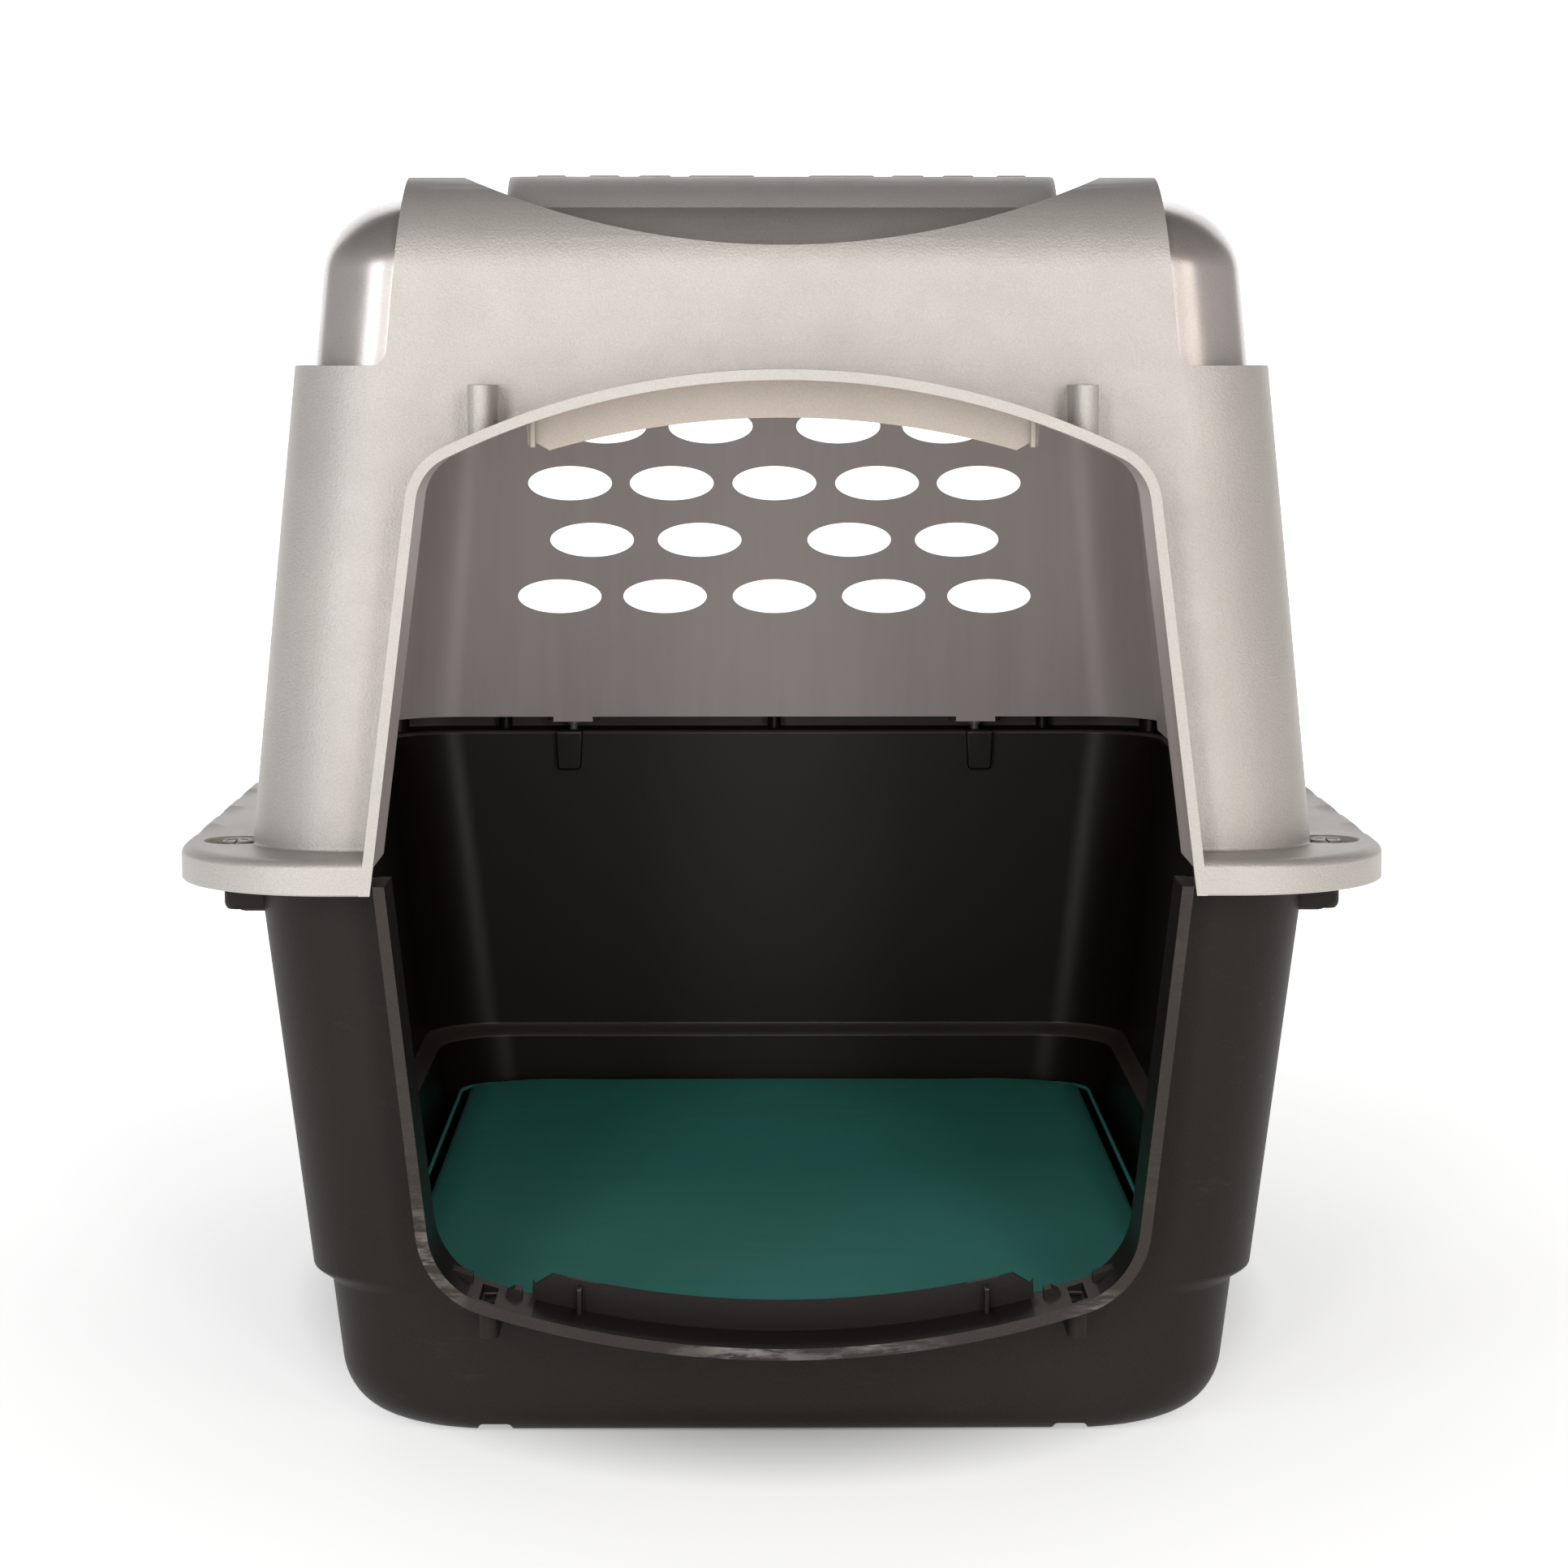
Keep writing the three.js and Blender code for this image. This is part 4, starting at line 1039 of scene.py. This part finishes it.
# The collar's front rim takes the lighter bead finish, a painted highlight.
top_collar = collar(DOOR_TOP, 1, SKIRT_Z - RIM_Z, grained_taupe, inside_taupe_shade_and_glow, bead_taupe_highlight)
under_plate = block((-WIDTH, FRONT_Y + 3, SKIRT_Z - PAST), (WIDTH, 0, HOOD_PLATE_Z))
cut(top_collar, solid(under_plate, grained_taupe))
join(hood, top_collar)
for x in (-PIN_X, PIN_X):
    cut(hood, pin_bore(DOOR_TOP, 1, x, 19, inside_taupe_shade_and_glow))
join(hood, blade(DOOR_TOP, 1, LIP_TOP["depth"], LIP_TOP["arch"], 0, LIP_HALF, LIP_Y, LIP_WALL,
                 lip_taupe))
for x in (-LIP_TOP["rib"], LIP_TOP["rib"]):
    join(hood, lip_rib(DOOR_TOP, 1, x, LIP_TOP["depth"] - 5, LIP_Y, 5, lip_taupe))
print("hood", len(hood.data.polygons), "faces")

# %% [markdown]
# ## Finishing a piece
# A finished piece has its doubles merged and its edges marked sharp only where they turn hard, so
# that the rounds shade smoothly. A weighted normal keeps the flat walls flat in the shading. Its
# place is in its mesh, and it rides on the CAD body that it stands for.


# %% Finishing helper
def finish_piece(body, name, cad_body, slot, *nodes, sharp=32):
    bm = bmesh.new()
    bm.from_mesh(body.data)
    bmesh.ops.remove_doubles(bm, verts=bm.verts, dist=0.0001)
    bmesh.ops.dissolve_degenerate(bm, edges=bm.edges, dist=0.0001)
    bmesh.ops.scale(bm, vec=(MM, MM, MM), verts=bm.verts)
    bm.to_mesh(body.data)
    open_edges = sum(not e.is_manifold for e in bm.edges)
    bm.free()
    body.name = name
    body.data.name = name
    shade_smooth(body)
    body.data.set_sharp_from_angle(angle=math.radians(sharp))
    weighting = body.modifiers.new("weighted_normals", "WEIGHTED_NORMAL")
    weighting.keep_sharp = True
    weighting.weight = 80
    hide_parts(*nodes)
    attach(body, cad_body)
    print(name, len(body.data.polygons), "faces,", open_edges, "open edges")
    return body


finish_piece(hood, "hood", "hood", "hood_plastic", "hood_shell")

# %% [markdown]
# ## The tray
# The tray is pulled up from its footprint like the hood, with a wide round at the foot, a soft ledge
# three quarters of the way down its sides and rear, and little draft at its ends. Its room is the same
# shape lifted by the floor's thickness, less the raised middle of the floor.


# %% Tray walls
def ledge(z):
    """How far the wall has drawn in below the ledge, with a soft turn at both ends."""
    share = min(max((z - LEDGE_LOW) / LEDGE_RISE, 0), 1)
    return STEP_IN * (1 - share * share * (3 - 2 * share))


def tray_levels(lift, top, lead_in=0):
    """Levels of the tray's wall, with a lead-in that rounds the edge at the rim."""
    heights = [FOOT_ROUND - rise for rise in rises(FOOT_ROUND, 14)][::-1]
    heights += [LEDGE_LOW + LEDGE_RISE * k / 8 for k in range(9)]
    levels = []
    for z in heights:
        side = BASE_DRAFT * (RIM_Z - z) + ledge(z) + drawn_in(FOOT_ROUND, FOOT_ROUND - z)
        front = BASE_END_DRAFT * (RIM_Z - z) + drawn_in(FOOT_END_ROUND, FOOT_END_ROUND - z)
        levels.append((z + lift, side, front, front + ledge(z)))
    for turn in (0, 22.5, 45, 67.5, 90) if lead_in else ():
        out = lead_in * (1 - math.cos(math.radians(turn)))
        z = RIM_Z - lead_in + lead_in * math.sin(math.radians(turn))
        end = BASE_END_DRAFT * (RIM_Z - z) - out
        levels.append((z, BASE_DRAFT * (RIM_Z - z) - out, end, end))
    levels.append((top, -lead_in, -lead_in, -lead_in))
    return levels


def floor_block(inset, low_z, high_z, finish):
    half_x = LOW_HALF_X - WALL - 34 - inset
    half_y = LOW_HALF_Y - WALL - 18.5 - inset
    body = pull_up(rectangle(half_x, half_y, 26 - inset, 8), [(low_z, 0, 0, 0), (high_z, 0, 0, 0)])
    return solid(soften(body, 2.5, 4, 40, above(high_z - 1)), finish)


def tray_block(inset, levels, finish):
    outline = rectangle(BASE_HALF_X - inset, BASE_HALF_Y - inset, CABIN_CORNER - inset, 20)
    return solid(pull_up(outline, levels), finish)


FLOOR_WALL = 2.5
tray = tray_block(0, tray_levels(0, PLATE_UNDER), grained_brown)
tray_room = tray_block(WALL, tray_levels(FLOOR_WALL, RIM_Z + PAST, 2.2), smooth_brown)
cut(tray_room, floor_block(0, -PAST, FLOOR_RAISED, smooth_brown))
print("tray walls", len(tray.data.polygons), "faces")

# %% [markdown]
# The rim carries a flat flange. Seat posts on it hold the hood 8 mm above, which leaves the dark gap
# that shows all round the joint. Under each fastener hangs a guard tube with a keyhole in its top.

# %% Flange, bosses and posts
base_flange = pull_up(rectangle(WIDTH / 2 - 4, LENGTH / 2 - 4, FLANGE_CORNER - 4, 24),
                      [(PLATE_UNDER, 0, 0, 0), (RIM_Z, 0, 0, 0)])
join(tray, solid(soften(base_flange, 0.6, 2), grained_brown))
BOSS_RADIUS = 6
BOSS_LOW = PLATE_UNDER - 17
BOSS_HIGH = PLATE_UNDER + 1.5
BOSS_REACH = 19.4
for name, (x, y) in FASTENER_XY.items():
    at_rear = "rear_" in name
    reach = (0, -BOSS_REACH) if at_rear else (-math.copysign(BOSS_REACH, x), 0)
    tube = post(BOSS_RADIUS, BOSS_LOW, BOSS_HIGH, x, y, 36)
    tube = solid(soften(tube, 4, 5, 50, below_z(BOSS_LOW + 1)), grained_brown)
    half_x, half_y = (BOSS_RADIUS, 0) if at_rear else (0, BOSS_RADIUS)
    xs = sorted((x, x + reach[0]))
    ys = sorted((y, y + reach[1]))
    web = block((xs[0] - half_x, ys[0] - half_y, BOSS_LOW),
                (xs[1] + half_x, ys[1] + half_y, BOSS_HIGH))
    join(tube, solid(soften(web, 4, 5, 50, below_z(BOSS_LOW + 1)), grained_brown))
    join(tray, tube)
cut(tray, tray_room)
print("tray with its flange", len(tray.data.polygons), "faces")

# %% Keyholes, recess and foot notches
KEYHOLE = (2.2, 4.6)
for x, y in FASTENER_XY.values():
    slot = block((x - KEYHOLE[0], y - KEYHOLE[1], PLATE_UNDER - PAST),
                 (x + KEYHOLE[0], y + KEYHOLE[1], RIM_Z + PAST))
    cut(tray, solid(slot, smooth_brown))
    cut(tray, solid(post(SHAFT_BORE, PLATE_UNDER - PAST, RIM_Z + PAST, x, y, 20), smooth_brown))
    cut(tray, solid(post(KEYHOLE[1], PLATE_UNDER - 40, PLATE_UNDER, x, y, 32), smooth_brown))
cut(tray, floor_block(WALL, -PAST, FLOOR_RAISED - WALL, grained_brown))
NOTCH_X = 126
for x in (-NOTCH_X, NOTCH_X):
    face = [(x - 10.5, -PAST, 0), (x + 10.5, -PAST, 0), (x + 6.5, 4, 1.2), (x - 6.5, 4, 1.2)]
    cut(tray, solid(slab(face, FRONT_Y, -LOW_HALF_Y - STEP_IN + 18), grained_brown))
print("tray cut", len(tray.data.polygons), "faces")


# %% Seat posts and pockets
def add_post(body, radius, x, y):
    pin = post(radius, RIM_Z - 1.5, HOOD_PLATE_Z - 0.3, x, y, 28)
    return join(body, solid(soften(pin, 0.8, 3, 50, above(RIM_Z)), smooth_brown))


POST_X = WIDTH / 2 - 4 - 13.5
POST_Y = LENGTH / 2 - 4 - 13.5
for x in (-161, 0, 161):
    add_post(tray, 4, x, POST_Y)
for x in (-POST_X, POST_X):
    for y in (-3, -1, 1, 3):
        add_post(tray, 4, x, y * SCALLOP_PITCH)
CORNER_IN = 21
for x in (CORNER_IN - POST_X, POST_X - CORNER_IN):
    for y in (CORNER_IN - POST_Y, POST_Y - CORNER_IN):
        add_post(tray, 6.5, x, y)
POCKET_Z = (RIM_Z - 23, RIM_Z)
POCKET_Y = BASE_HALF_Y - WALL - BASE_END_DRAFT * 23
for x in (-122, 122):
    face = [(x - 8, POCKET_Z[1], 0), (x - 7, POCKET_Z[0], 2.5), (x + 7, POCKET_Z[0], 2.5),
            (x + 8, POCKET_Z[1], 0)]
    boss = soften(slab(face, POCKET_Y - 9, BASE_HALF_Y - 1.4), 1.2, 3, 40,
                  lambda e: all(v.co.y < POCKET_Y - 8 for v in e.verts))
    join(tray, solid(boss, smooth_brown))
    hollow = block((x - 5.6, POCKET_Y - 6.6, POCKET_Z[0] + 2.4), (x + 5.6, POCKET_Y, RIM_Z + PAST))
    cut(tray, solid(hollow, smooth_brown))
print("posts", 3 + 8 + 4, "pockets", 2)

# %% [markdown]
# The sill is the lower half of the doorway. It takes most of the wear, so its front edge is painted
# with the scuffed finish. A low blade runs on beside the stop lip, and stops short of the pin socket.

# %% The sill
for x in (-PIN_X, PIN_X):
    join(tray, pin_boss(DOOR_SILL, -1, x, 4.3, 13, grained_brown))
cut_doorway(tray, DOOR_SILL, -1, smooth_brown)
sill = collar(DOOR_SILL, -1, 0, grained_brown, smooth_brown, sill_brown)
cut(sill, tray_block(WALL, tray_levels(FLOOR_WALL, RIM_Z + PAST), smooth_brown))
join(tray, sill)
join(tray, blade(DOOR_SILL, -1, LIP_SILL["depth"], LIP_SILL["arch"], 0, LIP_HALF, LIP_Y, LIP_WALL,
                 smooth_brown))
for x in (-LIP_SILL["rib"], LIP_SILL["rib"]):
    join(tray, lip_rib(DOOR_SILL, -1, x, LIP_SILL["depth"] - 2, LIP_Y, 8, smooth_brown))
LOBES = ((LIP_HALF + 2, 120), (133, 158))
LOBE_DEPTH = 4.5
LOBE_BACK = 9
for side in (-1, 1):
    for inner, outer in LOBES:
        lobe = blade(DOOR_SILL, -1, LOBE_DEPTH, LIP_SILL["arch"], inner, outer, LIP_Y - LOBE_BACK,
                     LOBE_BACK + LIP_WALL, smooth_brown, 3)
        meet(lobe, door_block(DOOR_SILL, -DOOR_SILL["wall"] / 2, -20, -1, FRONT_Y, 0, smooth_brown))
        if side < 0:
            lobe.data.transform(Matrix.Scale(-1, 4, (1, 0, 0)))
            lobe.data.flip_normals()
        join(tray, lobe)
for x in (-PIN_X, PIN_X):
    cut(tray, pin_bore(DOOR_SILL, -1, x, 13, smooth_brown))
    low = arch_z(DOOR_SILL, -1, x) + 1.5
    gap = block((x - 3.4, FRONT_Y + 4, low), (x + 3.4, LIP_Y + 1, low + 12))
    cut(tray, solid(soften(gap, 1, 3), smooth_brown))
print("tray", len(tray.data.polygons), "faces")


# The upward faces of the ledge and of the rim's lead-in are painted in the highlight brown, a painted
# highlight for the light line that runs along them.
def edge_of_step_or_rim(middle, normal):
    if not 0.2 < normal.z < 0.98:
        return False
    at_step = LEDGE_LOW + 0.5 < middle.z < LEDGE_LOW + LEDGE_RISE + FLOOR_WALL
    return at_step or (RIM_Z - 2.3 < middle.z < RIM_Z and abs(middle.x) < BASE_HALF_X)


paint(tray, highlight_brown, edge_of_step_or_rim)
finish_piece(tray, "tray", "base", "base_plastic", "base_shell")

# %% [markdown]
# ## Fasteners
# A fastener is a turned head with a coin slot, on a shaft that ends in a flat lug. It is one small
# moulding, and the eight are the same, so one is made about its own axis and copied to each place.

# %% One fastener
HEAD_LOW = DISH_Z + 0.3
HEAD_TOP = HEAD_LOW + 2.2
LUG_TOP_Z = PLATE_UNDER - 0.5
CATCH_TOP = DISH_Z - DISH_WALL - 0.3
HEAD_PROFILE = [(0, HEAD_LOW), (6.3, HEAD_LOW), (6.7, HEAD_LOW + 0.4), (6.7, HEAD_TOP - 0.9),
                (6.45, HEAD_TOP - 0.3), (5.9, HEAD_TOP), (5.2, HEAD_TOP), (4.9, HEAD_TOP - 0.3),
                (0, HEAD_TOP - 0.3)]


def fastener_shape(finish):
    head = solid(turned(HEAD_PROFILE, 0, 0, 48), finish)
    slot = block((-0.8, -9, HEAD_TOP - 1.2), (0.8, 9, HEAD_TOP + 2))
    cut(head, solid(slot, finish))
    lug_low = LUG_TOP_Z - 3
    join(head, solid(post(2.3, lug_low, HEAD_LOW + 0.5, 0, 0, 24), finish))
    catch = soften(post(3.6, CATCH_TOP - 2, CATCH_TOP, 0, 0, 28), 0.3, 2, 50)
    lug = soften(block((-1.7, -4.1, lug_low), (1.7, 4.1, LUG_TOP_Z)), 0.3, 2, 50)
    return join(head, solid(catch, finish), solid(lug, finish))


fastener_taupe = taupe("fastener_taupe", (0.33, 0.29, 0.26), (0.27, 0.235, 0.21), 0.36, 0.15, 0.03)
pattern = fastener_shape(fastener_taupe)
for name, (x, y) in FASTENER_XY.items():
    copy = placed(name, pattern.data.copy())
    copy.data.transform(Matrix.Translation((x, y, 0)))
    finish_piece(copy, name.replace("fastener", "coin_lock"), name.replace("fastener", "turn"),
                 "fastener_plastic", name)
bpy.data.objects.remove(pattern)

# %% [markdown]
# ## The floor mat
# The mat is a thin foam pad in coated teal cloth, welded shut along its edge. It starts as a flat
# rounded block, a little smaller than its real size. It is remeshed into even squares, and Cloth
# with a low pressure swells it, which crowns its top and draws its sides in. How far a point may
# move is capped, and the underside stays flat, since it rests on the floor. The welded edge is made
# afterwards, as a thin bead all round.


# %% Mat finish
def cloth_finish(name, low, high, rough, weave):
    finish, tree, shader, where = new_finish(name)
    tone = two_tone(tree, where, 6, 4, 0.3, low, high)[1]
    flecked = flecked_node(tree, tone, noise_node(tree, where, 1400, 2), (0.3, 0.84), (0.7, 1.05))
    tree.links.new(flecked, shader.inputs["Base Color"])
    rub = noise_node(tree, where, 30, 3, 0.6, (0.25, 1, 1))
    tree.links.new(range_node(tree, rub, 0.3, 0.7, rough - 0.05, rough + 0.06), shader.inputs["Roughness"])
    shader.inputs["Specular IOR Level"].default_value = 0.22
    shader.inputs["Sheen Weight"].default_value = 0.03
    shader.inputs["Sheen Roughness"].default_value = 0.5
    threads = noise_node(tree, where, 900, 1, 0.5)
    creases = noise_node(tree, where, 22, 3, 0.5, (0.35, 1, 1))
    tree.links.new(bump_node(tree, threads, weave * MM, under=bump_node(tree, creases, 0.5 * MM)),
                   shader.inputs["Normal"])
    return finish


mat_teal = cloth_finish("mat_teal", (0.028, 0.335, 0.28), (0.036, 0.375, 0.315), 0.5, 0.06)
welt_teal = cloth_finish("welt_teal", (0.036, 0.38, 0.32), (0.042, 0.41, 0.35), 0.36, 0.03)

# %% The pad
MAT_HALF_X = (mat_high.x - mat_low.x) / 2 / MM
MAT_HALF_Y = (mat_high.y - mat_low.y) / 2 / MM
MAT_LOW = mat_low.z / MM
MAT_TOP = mat_high.z / MM + 1
SMALLER = 2
pad_levels = [(MAT_LOW, 3, 3, 3), (MAT_LOW + 3, 0, 0, 0), (MAT_TOP - 5, 0, 0, 0),
              (MAT_TOP - 2, 2.5, 2.5, 2.5)]
pad_outline = rectangle(MAT_HALF_X - SMALLER, MAT_HALF_Y - SMALLER, 24, 8)
pad = solid(pull_up(pad_outline, pad_levels), mat_teal)
pad.data.transform(Matrix.Scale(MM, 4))
remesh = pad.modifiers.new("squares", "REMESH")
remesh.mode = "VOXEL"
remesh.voxel_size = 5 * MM
apply_modifiers(pad)
print("mat", len(pad.data.polygons), "squares")


# %% Swelling the pad
def swell(body, pressure, cap, frames, still):
    """Runs Cloth with a pressure inside, caps how far a point moves, and keeps still points."""
    before = [v.co.copy() for v in body.data.vertices]
    group = body.vertex_groups.new(name="still")
    group.add([v.index for v in body.data.vertices if still(v.co)], 1.0, "ADD")
    cloth = body.modifiers.new("cloth", "CLOTH")
    cloth.settings.use_pressure = True
    cloth.settings.uniform_pressure_force = pressure
    cloth.settings.effector_weights.gravity = 0
    cloth.settings.vertex_group_mass = "still"
    cloth.settings.quality = 4
    cloth.point_cache.frame_end = frames
    scene = bpy.context.scene
    for number in range(1, frames + 1):
        scene.frame_set(number)
    swollen = evaluated(body)
    body.modifiers.clear()
    body.vertex_groups.clear()
    scene.frame_set(1)
    most = 0
    for vert, start, end in zip(body.data.vertices, before, swollen.vertices):
        move = end.co - start
        most = max(most, move.length)
        vert.co = start + (move * (cap / move.length) if move.length > cap else move)
    bpy.data.meshes.remove(swollen)
    print("mat swelled by up to", round(most / MM, 1), "mm, capped at", round(cap / MM, 1))


swell(pad, 4, 3.2 * MM, 16, lambda co: co.z < (MAT_LOW + 1.5) * MM)
subdivision = pad.modifiers.new("smoother", "SUBSURF")
subdivision.levels = 1
subdivision.render_levels = 1
apply_modifiers(pad)
pad.name = "mat_pad"
shade_smooth(pad)
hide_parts("floor_mat")
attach(pad, "mat")
print("mat pad", len(pad.data.polygons), "faces")

# %% The welded edge
path = bpy.data.curves.new("welt", "CURVE")
path.dimensions = "3D"
path.bevel_depth = 1.1 * MM
path.bevel_resolution = 3
outline = rectangle(MAT_HALF_X - 1.6, MAT_HALF_Y - 1.6, 25, 14)
loop = [v.co.copy() for v in outline.faces[:][0].verts]
outline.free()
spline = path.splines.new("POLY")
spline.points.add(len(loop) - 1)
for point, co in zip(spline.points, loop):
    point.co = (co.x * MM, co.y * MM, (MAT_TOP - 5.5) * MM, 1)
spline.use_cyclic_u = True
welt_curve = placed("welt_curve", path)
welt = placed("mat_welt", evaluated(welt_curve))
bpy.data.objects.remove(welt_curve)
welt.data.materials.clear()
welt.data.materials.append(welt_teal)
shade_smooth(welt)
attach(welt, "mat")
print("welded edge", len(welt.data.polygons), "faces")

# %% [markdown]
# ## Stage and light
# The object stands on a plain pale floor that curves up into a backdrop. The light is soft: two
# large lamps in front, a cooler one on the left and a warmer one on the right, two tall strips
# between them, and a wide glow all round at eye height. The sky is left darker, so that faces that
# turn upwards fall off towards brown.

# %% Floor and backdrop
sweep = bmesh.new()
bmesh.ops.create_grid(sweep, x_segments=1, y_segments=1, size=5)
far = [e for e in sweep.edges if all(v.co.y > 4 for v in e.verts)]
risen = bmesh.ops.extrude_edge_only(sweep, edges=far)["geom"]
bmesh.ops.translate(sweep, vec=(0, 0, 5), verts=verts_of(risen))
bevel(sweep, [e for e in sweep.edges if len(e.link_faces) == 2], 2, "EDGES", 24)
bmesh.ops.recalc_face_normals(sweep, faces=sweep.faces)
stage_mesh = bpy.data.meshes.new("floor")
sweep.to_mesh(stage_mesh)
sweep.free()
floor = placed("floor", stage_mesh)
shade_smooth(floor)
floor.location = (0, 0, -0.0006)
pale, pale_tree, pale_shader, pale_where = new_finish("pale_floor")
pale_shader.inputs["Base Color"].default_value = (0.82, 0.82, 0.82, 1)
pale_shader.inputs["Roughness"].default_value = 0.9
squeeze = pale_tree.nodes.new("ShaderNodeMapping")
squeeze.inputs["Scale"].default_value = (1.6, 1, 1)
pale_tree.links.new(pale_where, squeeze.inputs["Vector"])
away = pale_tree.nodes.new("ShaderNodeVectorMath")
away.operation = "LENGTH"
pale_tree.links.new(squeeze.outputs["Vector"], away.inputs[0])
# The floor glows so that it stays white, but the glow fades to nothing close to the object and under it,
# which paints a soft shade on the floor around it.
spread = range_node(pale_tree, away.outputs["Value"], 0.28, 1.6, 0, 1)
GLOW_AND_SHADE_STOPS = [(0.0, 0), (0.09, 0.6), (1, 0.97)]
pale_glow_and_shade = ramp_node(pale_tree, spread, [(place, (grey,) * 3) for place, grey in GLOW_AND_SHADE_STOPS])
pale_tree.links.new(pale_glow_and_shade, pale_shader.inputs["Emission Color"])
pale_shader.inputs["Emission Strength"].default_value = 1
floor.data.materials.append(pale)
print("floor", len(floor.data.polygons), "faces")


# %% Lamps
def lamp(name, place, aim, size, power, colour):
    data = bpy.data.lights.new(name, "AREA")
    data.shape = "RECTANGLE"
    data.size, data.size_y = size
    data.energy = power
    data.color = colour
    made = placed(name, data)
    made.location = place
    made.rotation_euler = (Vector(aim) - Vector(place)).to_track_quat("-Z", "Y").to_euler()
    return made


lamp("left_lamp", (-1.5, -2.0, 0.8), (0, -0.2, 0.3), (0.8, 1.2), 11, (0.9, 0.95, 1.0))
lamp("right_lamp", (1.5, -2.0, 0.8), (0, -0.2, 0.3), (0.8, 1.2), 6, (1.0, 0.93, 0.84))
for side in (-1, 1):
    lamp("strip_lamp", (side * 0.62, -2.7, 0.95), (0, 0.1, 0.2), (0.34, 1.5), 14, (1, 0.985, 0.96))

# %% The glow around
world = bpy.data.worlds.new("glow")
world.use_nodes = True
bpy.context.scene.world = world
sky = world.node_tree
direction = sky.nodes.new("ShaderNodeTexCoord").outputs["Generated"]
split = sky.nodes.new("ShaderNodeSeparateXYZ")
sky.links.new(direction, split.inputs[0])
glow = ramp_node(sky, split.outputs["Z"], [(0.0, (0.8, 0.8, 0.8)), (0.25, (0.7, 0.7, 0.71)),
                                       (0.6, (0.14, 0.13, 0.12))])
sky.links.new(glow, sky.nodes["Background"].inputs["Color"])
sky.nodes["Background"].inputs["Strength"].default_value = 0.42
bpy.context.scene.view_settings.view_transform = "Standard"
print("glow set")
